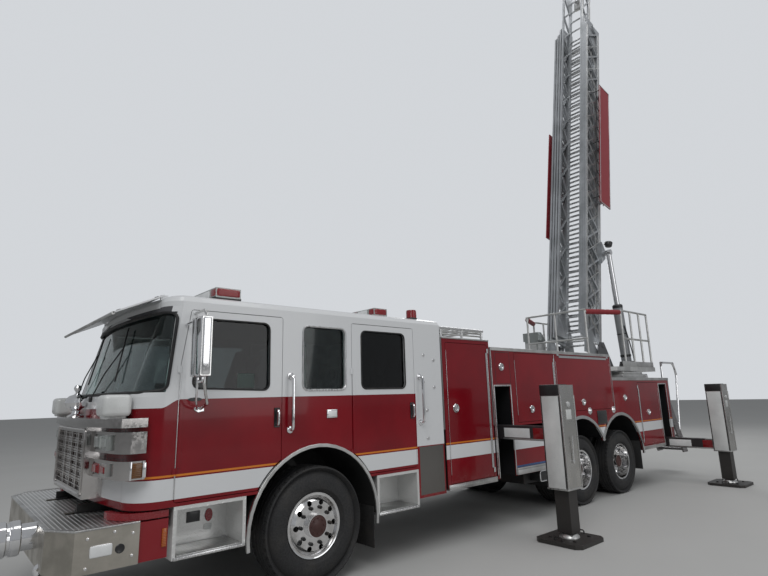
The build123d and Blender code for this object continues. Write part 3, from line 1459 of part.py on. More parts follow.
for build in (
    wheels,
    front_axle,
    knuckles,
    rear_axles,
    engine,
    chassis_frame,
    bumper,
    cab_shell,
    cab_glass,
    cab_doors,
    grille,
    cab_lamps,
    interior,
    pump_module,
    body,
    body_doors,
    outrigger_frames,
    outriggers,
    stairs,
    turntable,
    ladder_sections,
    lift_cylinders,
):
    build()
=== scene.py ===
"""Finishes and fittings of the ladder fire engine, set on its solids in metres."""

import math

import bmesh
import bpy
from mathutils import Matrix, Vector


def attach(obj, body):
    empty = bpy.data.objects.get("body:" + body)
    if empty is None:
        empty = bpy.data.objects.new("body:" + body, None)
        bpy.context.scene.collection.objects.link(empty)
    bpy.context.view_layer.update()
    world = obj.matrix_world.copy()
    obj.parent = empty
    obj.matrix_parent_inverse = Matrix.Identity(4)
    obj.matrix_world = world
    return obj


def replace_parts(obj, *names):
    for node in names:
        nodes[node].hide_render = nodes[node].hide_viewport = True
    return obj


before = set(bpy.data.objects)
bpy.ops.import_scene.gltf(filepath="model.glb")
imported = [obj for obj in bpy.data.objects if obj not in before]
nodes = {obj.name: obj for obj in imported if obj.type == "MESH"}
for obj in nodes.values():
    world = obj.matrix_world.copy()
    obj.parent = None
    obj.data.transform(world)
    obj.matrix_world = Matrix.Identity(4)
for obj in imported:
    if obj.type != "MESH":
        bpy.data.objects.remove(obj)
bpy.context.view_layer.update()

# In metres: the axles, half the truck's width, and where trim starts, just inside its sides
AXLE = 3.6
TANDEM = (-1.46, -2.81)
HALF = 1.22
FOOT = 1.2185
SIDES = (("left", 1), ("right", -1))
# Side, sign and the lanes of the front and rear outriggers
JACKS = (("left", 1, 0.55, -4.8), ("right", -1, 0.33, -4.58))
# The ladder's heel pin and how far it is raised
HEEL = (-3.92, 2.67)
RAISED = math.radians(78.2)


# Finishes

class Finish:
    """A node material under construction: a principled shader and the sockets that feed it."""

    def __init__(self, name, colour=(0.5, 0.5, 0.5), rough=0.5, metal=0.0, coat=0.0, shine=0.5):
        self.material = bpy.data.materials.new(name)
        self.material.use_nodes = True
        self.tree = self.material.node_tree
        self.shader = self.tree.nodes["Principled BSDF"]
        self.output = self.tree.nodes["Material Output"]
        self.shader.inputs["Base Color"].default_value = (*colour, 1)
        self.shader.inputs["Roughness"].default_value = rough
        self.shader.inputs["Metallic"].default_value = metal
        self.shader.inputs["Coat Weight"].default_value = coat
        self.shader.inputs["Coat Roughness"].default_value = 0.04
        self.shader.inputs["Specular IOR Level"].default_value = shine
        self.place = self.add("ShaderNodeTexCoord").outputs["Object"]
        self.split = None

    def add(self, kind, **values):
        node = self.tree.nodes.new(kind)
        for key, value in values.items():
            setattr(node, key, value)
        return node

    def link(self, start, end):
        self.tree.links.new(start, end)

    def feed(self, socket, value):
        if hasattr(value, "is_output"):
            self.link(value, socket)
        elif isinstance(value, (tuple, list)):
            socket.default_value = (*value, 1) if len(value) == 3 and socket.type == "RGBA" else value
        else:
            socket.default_value = value

    def axis(self, letter):
        if self.split is None:
            self.split = self.add("ShaderNodeSeparateXYZ")
            self.link(self.place, self.split.inputs[0])
        return self.split.outputs[letter]

    def sum(self, operation, first, second=0.0, third=None):
        node = self.add("ShaderNodeMath", operation=operation)
        self.feed(node.inputs[0], first)
        self.feed(node.inputs[1], second)
        if third is not None:
            self.feed(node.inputs[2], third)
        return node.outputs[0]

    def above(self, value, limit):
        return self.sum("GREATER_THAN", value, limit)

    def below(self, value, limit):
        return self.sum("LESS_THAN", value, limit)

    def between(self, value, low, high):
        return self.sum("MULTIPLY", self.above(value, low), self.below(value, high))

    def without(self, mask):
        return self.sum("SUBTRACT", 1.0, mask)

    def both(self, *masks):
        made = masks[0]
        for mask in masks[1:]:
            made = self.sum("MULTIPLY", made, mask)
        return made

    def either(self, *masks):
        made = masks[0]
        for mask in masks[1:]:
            made = self.sum("MAXIMUM", made, mask)
        return made

    def mix(self, mask, first, second):
        node = self.add("ShaderNodeMix", data_type="RGBA")
        self.feed(node.inputs[0], mask)
        self.feed(node.inputs[6], first)
        self.feed(node.inputs[7], second)
        return node.outputs[2]

    def blend(self, mask, first, second):
        node = self.add("ShaderNodeMix", data_type="FLOAT")
        self.feed(node.inputs[0], mask)
        self.feed(node.inputs[2], first)
        self.feed(node.inputs[3], second)
        return node.outputs[0]

    def noise(self, scale, detail=3.0, stretch=(1, 1, 1), rough=0.55):
        mapping = self.add("ShaderNodeMapping")
        mapping.inputs["Scale"].default_value = stretch
        self.link(self.place, mapping.inputs[0])
        node = self.add("ShaderNodeTexNoise")
        node.inputs["Scale"].default_value = scale
        node.inputs["Detail"].default_value = detail
        node.inputs["Roughness"].default_value = rough
        self.link(mapping.outputs[0], node.inputs["Vector"])
        return node.outputs["Fac"]

    def spread(self, value, low, high, start=0.3, end=0.7):
        node = self.add("ShaderNodeMapRange", interpolation_type="SMOOTHSTEP")
        for number, item in enumerate((value, start, end, low, high)):
            self.feed(node.inputs[number], item)
        return node.outputs[0]

    def facing(self, letter):
        """How squarely a face looks along an axis, taken from the surface's own normal."""
        geometry = self.add("ShaderNodeNewGeometry")
        split = self.add("ShaderNodeSeparateXYZ")
        self.link(geometry.outputs["Normal"], split.inputs[0])
        return self.sum("ABSOLUTE", split.outputs[letter])

    def bump(self, height, depth, strength=0.6):
        node = self.add("ShaderNodeBump")
        node.inputs["Strength"].default_value = strength
        node.inputs["Distance"].default_value = depth
        self.link(height, node.inputs["Height"])
        self.link(node.outputs[0], self.shader.inputs["Normal"])
        return node

    def done(self, colour=None, rough=None, metal=None):
        if colour is not None:
            self.feed(self.shader.inputs["Base Color"], colour)
        if rough is not None:
            self.feed(self.shader.inputs["Roughness"], rough)
        if metal is not None:
            self.feed(self.shader.inputs["Metallic"], metal)
        return self.material


RED = (0.22, 0.003, 0.009)
DEEP_RED = (0.165, 0.002, 0.007)
WHITE = (0.66, 0.67, 0.68)
GOLD = (0.62, 0.19, 0.02)
SILVER = (0.72, 0.72, 0.73)
DULL = (0.50, 0.50, 0.49)
BLACK = (0.012, 0.012, 0.013)
BLUE = (0.03, 0.09, 0.24)
# Heights of the white band and of the gold line above it
BAND = (0.987, 1.15)
GOLD_LINE = (1.163, 1.18)


def shaded(colour, share):
    return tuple(min(1.0, c * share) for c in colour)


def plain(name, colour, rough, metal=0.0, coat=0.0, grain=60.0, depth=0.0004, vary=0.12, wear=0.1):
    """A finish with an even colour that drifts a little, with small scuffs in its gloss."""
    made = Finish(name, colour, rough, metal, coat)
    cloud = made.noise(2.3, 4.0)
    scuff = made.noise(grain, 4.0)
    made.bump(scuff, depth, 0.35)
    shade = made.mix(made.spread(cloud, 0.0, 1.0), shaded(colour, 1 - vary), shaded(colour, 1 + vary))
    return made.done(shade, made.spread(scuff, max(0.02, rough - wear), min(1.0, rough + wear)))


def brushed(name, colour, rough, stretch, metal=1.0, grime=0.25):
    """Sheet metal with its grain along one way, and grime that gathers in soft patches."""
    made = Finish(name, colour, rough, metal)
    lines = made.noise(90.0, 3.0, stretch)
    patch = made.noise(3.1, 5.0)
    made.bump(lines, 0.0005, 0.35)
    shade = made.mix(made.spread(patch, 0.0, 1.0), shaded(colour, 1 - grime), colour)
    gloss = made.sum("ADD", made.spread(lines, rough - 0.08, rough + 0.08), made.spread(patch, 0.07, 0.0))
    return made.done(shade, gloss)


def lozenges(made, first, second, pitch=0.034):
    """The raised lozenges of tread plate on two axes, every second one turned across."""
    u = made.sum("DIVIDE", first, pitch)
    v = made.sum("DIVIDE", second, pitch)
    fu = made.sum("SUBTRACT", made.sum("FRACT", u), 0.5)
    fv = made.sum("SUBTRACT", made.sum("FRACT", v), 0.5)
    odd = made.sum("MODULO", made.sum("ADD", made.sum("FLOOR", u), made.sum("FLOOR", v)), 2.0)
    sign = made.sum("SUBTRACT", made.sum("MULTIPLY", made.sum("ABSOLUTE", odd), 2.0), 1.0)
    turned = made.sum("MULTIPLY", fv, sign)
    long = made.sum("DIVIDE", made.sum("ADD", fu, turned), 0.62)
    short = made.sum("DIVIDE", made.sum("SUBTRACT", fu, turned), 0.2)
    far = made.sum("ADD", made.sum("MULTIPLY", long, long), made.sum("MULTIPLY", short, short))
    return made.spread(far, 1.0, 0.0, 0.55, 1.1)


def tread_height(made):
    """Tread plate on whichever way a face looks."""
    x, y, z = (made.axis(letter) for letter in "XYZ")
    flat = made.above(made.facing("Z"), 0.6)
    side = made.above(made.facing("Y"), 0.6)
    second = made.blend(flat, z, y)
    first = made.blend(made.either(flat, side), y, x)
    return lozenges(made, first, second)


def tread_plate(name, colour, rough=0.28):
    made = Finish(name, colour, rough, 1.0)
    height = tread_height(made)
    made.bump(height, 0.0016, 0.9)
    patch = made.noise(4.0, 5.0)
    shade = made.mix(made.spread(patch, 0.0, 1.0), shaded(colour, 0.66), colour)
    # The raised lozenges are painted lighter: a painted highlight on their tops.
    shade = made.mix(made.sum("MULTIPLY", height, 0.4), shade, (0.86, 0.86, 0.86))
    return made.done(shade, made.spread(patch, rough + 0.12, rough))


def band_colours(made, base):
    """The gold line and the white band that run round the truck over a base colour."""
    z = made.axis("Z")
    lined = made.mix(made.between(z, *GOLD_LINE), base, GOLD)
    return made.mix(made.between(z, *BAND), lined, WHITE)


def paint_gloss(made, base):
    """Polished paint: a faint orange-peel, soft clouding, and dust toward the bottom."""
    peel = made.noise(160.0, 2.0)
    made.bump(peel, 0.0003, 0.12)
    dust = made.both(made.spread(made.axis("Z"), 0.6, 0.0, 0.4, 1.0), made.spread(made.noise(6.0, 5.0), 0, 1))
    shade = made.mix(made.sum("MULTIPLY", dust, 0.55), base, (0.16, 0.13, 0.11))
    return shade, made.sum("ADD", 0.2, made.sum("MULTIPLY", dust, 0.4))


def cab_paint():
    """White above the waist, red below it with its line and band, tread plate steps, dark inside, and painted
    near-black shade under the cab and in the front wheel arch.
    """
    made = Finish("cab_two_tone", RED, 0.22, 0.0, 0.3, 0.25)
    x, y, z = (made.axis(letter) for letter in "XYZ")
    wide = made.sum("ABSOLUTE", y)
    cloud = made.spread(made.noise(1.6, 3.0), 0.0, 1.0)
    red = made.mix(cloud, DEEP_RED, RED)
    edge = made.spread(x, 1.78, 1.712, 4.98, 5.14)
    rear, line_top = made.below(x, 2.235), GOLD_LINE[1]
    white = made.either(made.above(z, edge), made.both(rear, made.above(z, line_top)))
    shade = band_colours(made, red)
    shade = made.mix(white, shade, WHITE)
    low = made.both(rear, made.below(z, line_top))
    polished = made.both(low, made.between(x, 1.8, 2.2), made.between(z, 0.64, 1.17))
    shade = made.mix(low, shade, red)
    shade = made.mix(polished, shade, (0.2, 0.19, 0.18))
    shade, gloss = paint_gloss(made, shade)
    step = made.both(made.below(z, 0.929), made.between(wide, 0.855, 1.222))
    stations = made.either(made.between(x, 2.229, 2.851), made.between(x, 4.359, 4.991))
    step = made.both(step, stations)
    fitting = made.above(wide, 1.2335)
    inside = made.both(made.below(wide, 1.169), made.between(z, 0.97, 2.576), made.between(x, 1.8, 5.2))
    # Near-black under the cab and inside the front wheel arch is painted shade, standing for the shadow
    # there.
    painted_shade_under = made.either(
        made.both(made.below(z, 0.932), made.below(wide, 0.86)),
        made.both(made.below(wide, 1.21), made.between(x, 2.86, 4.35), made.below(z, 1.3)),
    )
    shade = made.mix(inside, shade, (0.075, 0.075, 0.08))
    shade = made.mix(painted_shade_under, shade, (0.014, 0.014, 0.014))
    shade = made.mix(made.either(step, fitting), shade, (0.68, 0.68, 0.67))
    dull = made.either(inside, painted_shade_under)
    gloss = made.blend(dull, gloss, 0.75)
    gloss = made.blend(made.either(step, fitting, polished), gloss, 0.22)
    height = made.sum("MULTIPLY", tread_height(made), step)
    made.bump(height, 0.0016, 0.8)
    return made.done(shade, gloss, made.either(made.sum("MULTIPLY", step, 0.45), fitting, polished))


def body_paint(name, top, deck_top):
    """Deep red with its line and band; bare metal inside, with painted near-black shade low inside and in the
    outrigger wells; tread plate on top.
    """
    made = Finish(name, RED, 0.2, 0.0, 0.3, 0.25)
    x, y, z = (made.axis(letter) for letter in "XYZ")
    wide = made.sum("ABSOLUTE", y)
    cloud = made.spread(made.noise(1.3, 3.0), 0.0, 1.0)
    shade = band_colours(made, made.mix(cloud, DEEP_RED, RED))
    rear = made.below(x, -5.12)
    shade = made.mix(rear, shade, (0.2, 0.19, 0.2))
    shade, gloss = paint_gloss(made, shade)
    inside = made.both(made.below(wide, 1.212), made.below(z, top - 0.002), made.above(x, -5.12))
    # Low inside the body and in the outrigger wells, near-black is painted shade for the shadow in these
    # hollows.
    dark = made.below(z, 1.34)
    painted_shade_slots = made.either(made.between(x, 0.1, 0.76), made.between(x, -4.99, -4.38))
    shade = made.mix(inside, shade, (0.3, 0.3, 0.3))
    shade = made.mix(made.both(inside, made.either(dark, painted_shade_slots)), shade, (0.012, 0.012, 0.013))
    deck = made.both(made.above(made.facing("Z"), 0.7), made.above(z, deck_top))
    trim = made.either(made.above(wide, 1.2225), made.above(z, top + 0.006))
    bright = made.either(deck, trim)
    shade = made.mix(bright, shade, (0.66, 0.66, 0.66))
    gloss = made.blend(made.either(inside, rear), gloss, 0.5)
    gloss = made.blend(bright, gloss, 0.26)
    height = made.sum("MULTIPLY", tread_height(made), made.either(deck, rear))
    made.bump(height, 0.0014, 0.8)
    return made.done(shade, gloss, made.either(bright, made.sum("MULTIPLY", rear, 0.7)))


def locker_paint():
    """The body's red on the doors, whose hinges are bright and whose backs are bare metal."""
    made = Finish("locker_doors", RED, 0.2, 0.0, 0.3, 0.25)
    y = made.axis("Y")
    wide = made.sum("ABSOLUTE", y)
    cloud = made.spread(made.noise(1.3, 3.0), 0.0, 1.0)
    shade, gloss = paint_gloss(made, band_colours(made, made.mix(cloud, DEEP_RED, RED)))
    back = made.below(wide, 1.1815)
    fitting = made.above(wide, 1.2205)
    bright = made.either(back, fitting)
    shade = made.mix(bright, shade, (0.6, 0.6, 0.6))
    return made.done(shade, made.blend(bright, gloss, 0.24), bright)


def bumper_finish():
    """Ribbed bright deck, warm grey sides and a chromed siren."""
    made = Finish("bumper_plate", (0.55, 0.53, 0.48), 0.35, 1.0)
    x, z = made.axis("X"), made.axis("Z")
    deck = made.both(made.above(made.facing("Z"), 0.7), made.above(z, 0.84))
    ribs = made.sum("SINE", made.sum("MULTIPLY", x, 2 * math.pi / 0.032))
    height = made.sum("MULTIPLY", made.spread(ribs, 0.0, 1.0, -0.2, 0.8), deck)
    made.bump(height, 0.004, 0.9)
    patch = made.spread(made.noise(5.0, 5.0), 0.0, 1.0)
    shade = made.mix(patch, (0.36, 0.34, 0.3), (0.5, 0.47, 0.42))
    lit = made.mix(height, (0.54, 0.54, 0.53), (0.86, 0.86, 0.85))
    shade = made.mix(deck, shade, lit)
    siren = made.above(x, 5.836)
    shade = made.mix(siren, shade, (0.78, 0.78, 0.8))
    flap = made.below(x, 5.239)
    shade = made.mix(flap, shade, RED)
    gloss = made.blend(siren, made.spread(patch, 0.42, 0.3), 0.1)
    return made.done(shade, gloss, made.without(flap))


def rubber(name, colour=(0.018, 0.018, 0.019), rough=0.72, pattern=70.0):
    made = Finish(name, colour, rough)
    fine = made.noise(pattern, 5.0)
    dust = made.spread(made.noise(5.0, 5.0), 0.0, 0.5, 0.42, 0.72)
    made.bump(fine, 0.0012, 0.5)
    shade = made.mix(dust, colour, (0.042, 0.038, 0.034))
    return made.done(shade, made.spread(fine, rough - 0.1, rough + 0.15))


def chassis_finish():
    """Satin black steel with brown road dirt in patches, most of it on its upper faces."""
    made = Finish("chassis_black", BLACK, 0.45, 0.0)
    patch = made.noise(3.0, 6.0)
    fine = made.noise(40.0, 5.0)
    top = made.spread(made.facing("Z"), 0.0, 0.6, 0.5, 1.0)
    dirt = made.both(made.spread(patch, 0.0, 1.0, 0.45, 0.7), made.sum("ADD", top, 0.25))
    shade = made.mix(dirt, BLACK, (0.075, 0.056, 0.042))
    made.bump(fine, 0.0008, 0.4)
    return made.done(shade, made.spread(patch, 0.38, 0.75))


def ladder_metal(name, panels=False):
    """Dull extruded aluminium with a long grain; the outer panels are red."""
    made = Finish(name, DULL, 0.42, 0.85)
    lines = made.noise(45.0, 4.0, (6, 1, 0.5))
    patch = made.noise(1.8, 5.0)
    shade = made.mix(made.spread(patch, 0.0, 1.0), (0.36, 0.375, 0.39), (0.62, 0.64, 0.66))
    shade = made.mix(made.spread(lines, 0.0, 0.35), shade, (0.27, 0.28, 0.29))
    made.bump(lines, 0.0006, 0.4)
    gloss = made.spread(patch, 0.5, 0.34)
    if not panels:
        return made.done(shade, gloss)
    panel = made.above(made.sum("ABSOLUTE", made.axis("Y")), 0.5985)
    shade = made.mix(panel, shade, (0.27, 0.008, 0.016))
    return made.done(shade, made.blend(panel, gloss, 0.3), made.blend(panel, 0.85, 0.0))


def turntable_finish():
    """Tread plate deck, pale rails, dark brackets and a grey console."""
    made = Finish("turntable_metal", DULL, 0.35, 0.9)
    x, y, z = (made.axis(letter) for letter in "XYZ")
    wide = made.sum("ABSOLUTE", y)
    deck = made.both(made.above(made.facing("Z"), 0.7), made.below(z, 2.21))
    bracket = made.both(made.below(wide, 0.78), made.between(x, -5.1, -3.5), made.above(z, 2.205))
    console = made.both(made.above(x, -3.47), made.between(y, -0.91, -0.51), made.above(z, 2.205))
    posts = made.above(x, -3.06)
    patch = made.noise(4.0, 5.0)
    shade = made.mix(made.spread(patch, 0.0, 1.0), (0.5, 0.5, 0.49), (0.72, 0.72, 0.7))
    shade = made.mix(bracket, shade, (0.1, 0.1, 0.105))
    shade = made.mix(made.both(console, made.without(posts)), shade, (0.34, 0.36, 0.35))
    made.bump(made.sum("MULTIPLY", tread_height(made), deck), 0.0016, 0.9)
    return made.done(shade, made.spread(patch, 0.42, 0.28), made.blend(bracket, 0.9, 0.1))


def glass_finish(name, tint, rough=0.02):
    """Tinted glass that shows what is behind it, with a faint film of dust."""
    made = Finish(name, tint, rough)
    made.shader.inputs["Transmission Weight"].default_value = 1.0
    made.shader.inputs["IOR"].default_value = 1.4
    film = made.noise(9.0, 5.0)
    dusty = tuple(c * 0.8 + 0.01 for c in tint)
    shade = made.mix(made.spread(film, 0.0, 1.0), tint, dusty)
    return made.done(shade, made.spread(film, rough, rough + 0.03))


def lens(name, colour, ribs=(0, 0, 1), pitch=0.012, glow=0.0, clear=0.25):
    """A moulded lamp lens with fine ribs, their troughs painted darker as shade."""
    made = Finish(name, colour, 0.12, 0.0, 0.6)
    made.shader.inputs["Transmission Weight"].default_value = clear
    made.shader.inputs["IOR"].default_value = 1.45
    if glow:
        made.shader.inputs["Emission Color"].default_value = (*colour, 1)
        made.shader.inputs["Emission Strength"].default_value = glow
    line = made.sum("MULTIPLY", made.axis("XYZ"[ribs.index(1)]), 2 * math.pi / pitch)
    ribbed = made.sum("SINE", line)
    made.bump(ribbed, 0.0015, 0.5)
    # The ribs' troughs are painted darker: painted shade between the ribs.
    shade = made.mix(made.spread(ribbed, 0.0, 1.0, -1, 1), shaded(colour, 0.6), colour)
    return made.done(shade, made.spread(made.noise(30.0), 0.08, 0.2))


def rim_finish():
    """Polished aluminium discs with a red-brown hub."""
    made = Finish("polished_rim", SILVER, 0.14, 1.0)
    x, y, z = (made.axis(letter) for letter in "XYZ")
    patch = made.noise(9.0, 5.0)
    wide = made.sum("ABSOLUTE", y)
    stations = ((AXLE, 0.55, 1.1655), (TANDEM[0], 0.53, 0.8755), (TANDEM[1], 0.53, 0.8755))
    hub = None
    for station, height, face in stations:
        along, up = made.sum("SUBTRACT", x, station), made.sum("SUBTRACT", z, height)
        far = made.sum("ADD", made.sum("MULTIPLY", along, along), made.sum("MULTIPLY", up, up))
        spot = made.both(made.below(far, 0.1 ** 2), made.above(wide, face))
        hub = spot if hub is None else made.either(hub, spot)
    shade = made.mix(made.spread(patch, 0.0, 1.0), (0.6, 0.59, 0.58), (0.86, 0.86, 0.87))
    shade = made.mix(hub, shade, (0.055, 0.018, 0.015))
    gloss = made.blend(hub, made.spread(patch, 0.2, 0.1), 0.45)
    return made.done(shade, gloss, made.blend(hub, 1.0, 0.1))


def jack_finish():
    """Bare steel covers, dark beams, black legs and dark pads."""
    made = Finish("jack_steel", (0.5, 0.5, 0.5), 0.3, 1.0)
    y, z = made.axis("Y"), made.axis("Z")
    wide = made.sum("ABSOLUTE", y)
    beam = made.below(wide, 1.905)
    leg = made.below(z, 0.5995)
    lines = made.noise(70.0, 3.0, (1, 1, 0.1))
    patch = made.noise(5.0, 5.0)
    shade = made.mix(made.spread(patch, 0.0, 1.0), (0.46, 0.45, 0.43), (0.54, 0.53, 0.51))
    shade = made.mix(beam, shade, (0.028, 0.024, 0.026))
    shade = made.mix(leg, shade, (0.035, 0.032, 0.03))
    made.bump(lines, 0.0005, 0.35)
    dark = made.either(beam, leg)
    gloss = made.blend(dark, made.spread(patch, 0.36, 0.22), 0.5)
    return made.done(shade, gloss, made.blend(dark, 1.0, 0.15))


def mesh_finish():
    """The dark red screen behind the grille's bars."""
    made = Finish("grille_screen", (0.11, 0.012, 0.018), 0.5)
    y, z = made.axis("Y"), made.axis("Z")
    across = made.sum("SINE", made.sum("MULTIPLY", y, 2 * math.pi / 0.016))
    up = made.sum("SINE", made.sum("MULTIPLY", z, 2 * math.pi / 0.016))
    holes = made.spread(made.sum("MULTIPLY", across, up), 0.0, 1.0, -0.2, 0.2)
    made.bump(holes, 0.003, 0.8)
    return made.done(made.mix(holes, (0.02, 0.006, 0.008), (0.16, 0.02, 0.026)))


chrome = plain("chrome", (0.8, 0.8, 0.81), 0.1, 1.0, 0.0, 45.0, 0.0002, 0.08, 0.06)
grille_chrome = plain("grille_chrome", (0.52, 0.5, 0.49), 0.12, 1.0, 0.0, 45.0, 0.0002, 0.1, 0.06)
bright = brushed("bright_metal", (0.74, 0.74, 0.74), 0.24, (1, 1, 0.05))
stainless = brushed("stainless", (0.6, 0.6, 0.59), 0.3, (0.1, 1, 1))
aluminium = brushed("dull_aluminium", (0.62, 0.62, 0.61), 0.38, (1, 1, 0.08), 0.9, 0.35)
tread = tread_plate("bright_tread_plate", (0.62, 0.62, 0.61))
stair_tread = tread_plate("stair_tread_plate", (0.27, 0.25, 0.255), 0.4)
black_trim = plain("black_trim", (0.014, 0.014, 0.015), 0.4, 0.0, 0.2)
seal_rubber = rubber("window_seal", (0.01, 0.01, 0.011), 0.5)
tyre_rubber = rubber("tyre_rubber")
flap_rubber = rubber("flap_rubber", (0.016, 0.016, 0.016), 0.6, 25.0)
chassis_black = chassis_finish()
iron = plain("cast_iron", (0.06, 0.062, 0.066), 0.55, 0.3, 0.0, 30.0, 0.002)
white_paint = plain("white_paint", (0.62, 0.63, 0.62), 0.35, 0.0, 0.5)
plate_paint = plain("blank_plate", (0.56, 0.57, 0.56), 0.45, 0.0, 0.1)
red_paint = plain("red_paint", RED, 0.25, 0.0, 0.7)
blue_edge = plain("blue_edge", BLUE, 0.35, 0.0, 0.3)
barrel_grey = plain("barrel_paint", (0.27, 0.28, 0.29), 0.4, 0.2, 0.1)
pad_red = plain("padded_red", (0.23, 0.012, 0.018), 0.55, 0.0, 0.1, 220.0, 0.0012)
seat_cover = plain("seat_cover", (0.05, 0.052, 0.058), 0.7, 0.0, 0.0, 320.0, 0.0012)
dash_grey = plain("dash_moulding", (0.085, 0.087, 0.09), 0.65, 0.0, 0.0, 260.0, 0.0008)
canvas = plain("hose_canvas", (0.42, 0.37, 0.28), 0.85, 0.0, 0.0, 400.0, 0.0015)
hub_brown = plain("hub_paint", (0.055, 0.017, 0.014), 0.45, 0.0, 0.1)
red_lens = lens("red_lens", (0.36, 0.006, 0.012))
pink_lens = lens("pink_lens", (0.5, 0.12, 0.13), (0, 1, 0), 0.02)
clear_lens = lens("clear_lens", (0.72, 0.76, 0.74), (0, 1, 0), 0.02, clear=0.5)
white_lens = lens("white_lens", (0.74, 0.75, 0.75), (1, 0, 0), 0.014)
plain_lens = plain("plain_lens", (0.72, 0.73, 0.73), 0.2, 0.0, 0.4)
amber_lens = lens("amber_lens", (0.2, 0.075, 0.012), (0, 0, 1), 0.014)
orange_lens = lens("orange_lens", (0.6, 0.14, 0.015))
pale_label = plain("pale_label", (0.33, 0.44, 0.39), 0.4)
windscreen_glass = glass_finish("windscreen_glass", (0.5, 0.61, 0.59))
side_glass = glass_finish("side_glass", (0.07, 0.08, 0.085))
grille_screen = mesh_finish()
rim_metal = rim_finish()
jack_steel = jack_finish()
cab_two_tone = cab_paint()
locker_red = locker_paint()
body_red = body_paint("body_red", 2.379, 2.3)
tail_red = body_paint("tail_red", 1.969, 1.9)
pump_red = body_paint("pump_red", 2.469, 2.4)
ladder_dull = ladder_metal("ladder_aluminium")
ladder_base = ladder_metal("ladder_base_aluminium", True)
turntable_metal = turntable_finish()
bumper_plate = bumper_finish()

NODE_FINISHES = (
    ("front_tyre", tyre_rubber), ("fore_tyres", tyre_rubber), ("aft_tyres", tyre_rubber),
    ("front_rim", rim_metal), ("fore_rims", rim_metal), ("aft_rims", rim_metal),
    ("chassis_frame", chassis_black), ("torque_box", chassis_black), ("front_axle", chassis_black),
    ("rear_axles", chassis_black), ("knuckle", chassis_black), ("engine_block", iron),
    ("front_bumper", bumper_plate), ("cab_shell", cab_two_tone), ("cab_glass", windscreen_glass),
    ("cab_lamps", clear_lens), ("cab_interior", dash_grey), ("grille", grille_chrome),
    ("front_door_glass", side_glass), ("crew_door_glass", side_glass),
    ("front_door", cab_two_tone), ("crew_door", cab_two_tone), ("pump_module", pump_red),
    ("pump_door", locker_red), ("locker_door", locker_red), ("upper_door", locker_red),
    ("tail_door", locker_red), ("tail_body", tail_red), ("body", body_red),
    ("front_outrigger", jack_steel), ("rear_outrigger", jack_steel), ("front_leg", jack_steel),
    ("rear_leg", jack_steel), ("rear_stair", stair_tread), ("turntable", turntable_metal),
    ("base_section", ladder_base), ("second_section", ladder_dull), ("third_section", ladder_dull),
    ("fly_section", ladder_dull), ("lift_barrels", barrel_grey), ("lift_rods", chrome),
)

for node_name, node in nodes.items():
    for start, finish in NODE_FINISHES:
        if node_name.startswith(start):
            node.data.materials.clear()
            node.data.materials.append(finish)
            break


# Making pieces

def clear():
    bpy.ops.object.select_all(action="DESELECT")


def only(piece):
    clear()
    piece.select_set(True)
    bpy.context.view_layer.objects.active = piece


def edit(piece):
    only(piece)
    bpy.ops.object.mode_set(mode="EDIT")


def leave():
    bpy.ops.object.mode_set(mode="OBJECT")


def pick_faces(piece, test):
    """Selects the faces whose middle and normal pass the test."""
    mesh = bmesh.from_edit_mesh(piece.data)
    bpy.ops.mesh.select_all(action="DESELECT")
    bpy.ops.mesh.select_mode(type="FACE")
    for face in mesh.faces:
        face.select_set(test(face.calc_center_median(), face.normal))
    bmesh.update_edit_mesh(piece.data)


def inset(piece, test, *steps):
    """Insets the faces whose normal passes the test, once for each thickness and depth."""
    edit(piece)
    pick_faces(piece, lambda c, n: test(n))
    for thickness, depth in steps:
        bpy.ops.mesh.inset(thickness=thickness, depth=depth)
    leave()
    return piece


def block(low, high, edge=0.004, segments=2):
    """A box between two corners with its edges rounded."""
    clear()
    size = [abs(b - a) for a, b in zip(low, high)]
    middle = [(a + b) / 2 for a, b in zip(low, high)]
    bpy.ops.mesh.primitive_cube_add(size=1, location=middle)
    piece = bpy.context.object
    piece.scale = size
    bpy.ops.object.transform_apply(location=True, rotation=True, scale=True)
    edit(piece)
    bpy.ops.mesh.select_all(action="SELECT")
    bpy.ops.mesh.bevel(offset=min(edge, min(size) * 0.45), segments=segments, affect="EDGES")
    leave()
    return piece


def drum(start, end, radius, edge=0.003, sides=24, end_radius=None):
    """A round bar from one point to another, its two rims eased."""
    clear()
    a, b = Vector(start), Vector(end)
    run = b - a
    bpy.ops.mesh.primitive_cone_add(
        vertices=sides, radius1=radius, radius2=radius if end_radius is None else end_radius,
        depth=run.length, location=(a + b) / 2, rotation=run.to_track_quat("Z", "Y").to_euler(),
    )
    piece = bpy.context.object
    bpy.ops.object.transform_apply(location=True, rotation=True, scale=True)
    unit = run.normalized()
    if edge:
        edit(piece)
        pick_faces(piece, lambda c, n: abs(n.dot(unit)) > 0.9)
        bpy.ops.mesh.bevel(offset=edge, segments=2, affect="EDGES")
        leave()
    return piece


def plate(outline, axis, start, end, edge=0.002, segments=1):
    """An outline pulled from one value to another along an axis, with eased edges."""
    clear()
    bpy.ops.mesh.primitive_circle_add(vertices=len(outline), fill_type="NGON")
    piece = bpy.context.object
    for vertex, (u, v) in zip(piece.data.vertices, outline):
        vertex.co = {"X": (start, u, v), "Y": (u, start, v), "Z": (u, v, start)}[axis]
    edit(piece)
    bpy.ops.mesh.select_all(action="SELECT")
    pull = {"X": (end - start, 0, 0), "Y": (0, end - start, 0), "Z": (0, 0, end - start)}[axis]
    bpy.ops.mesh.extrude_region_move(TRANSFORM_OT_translate={"value": pull})
    bpy.ops.mesh.select_all(action="SELECT")
    bpy.ops.mesh.normals_make_consistent(inside=False)
    if edge:
        bpy.ops.mesh.bevel(offset=edge, segments=segments, affect="EDGES", clamp_overlap=True)
    leave()
    return piece


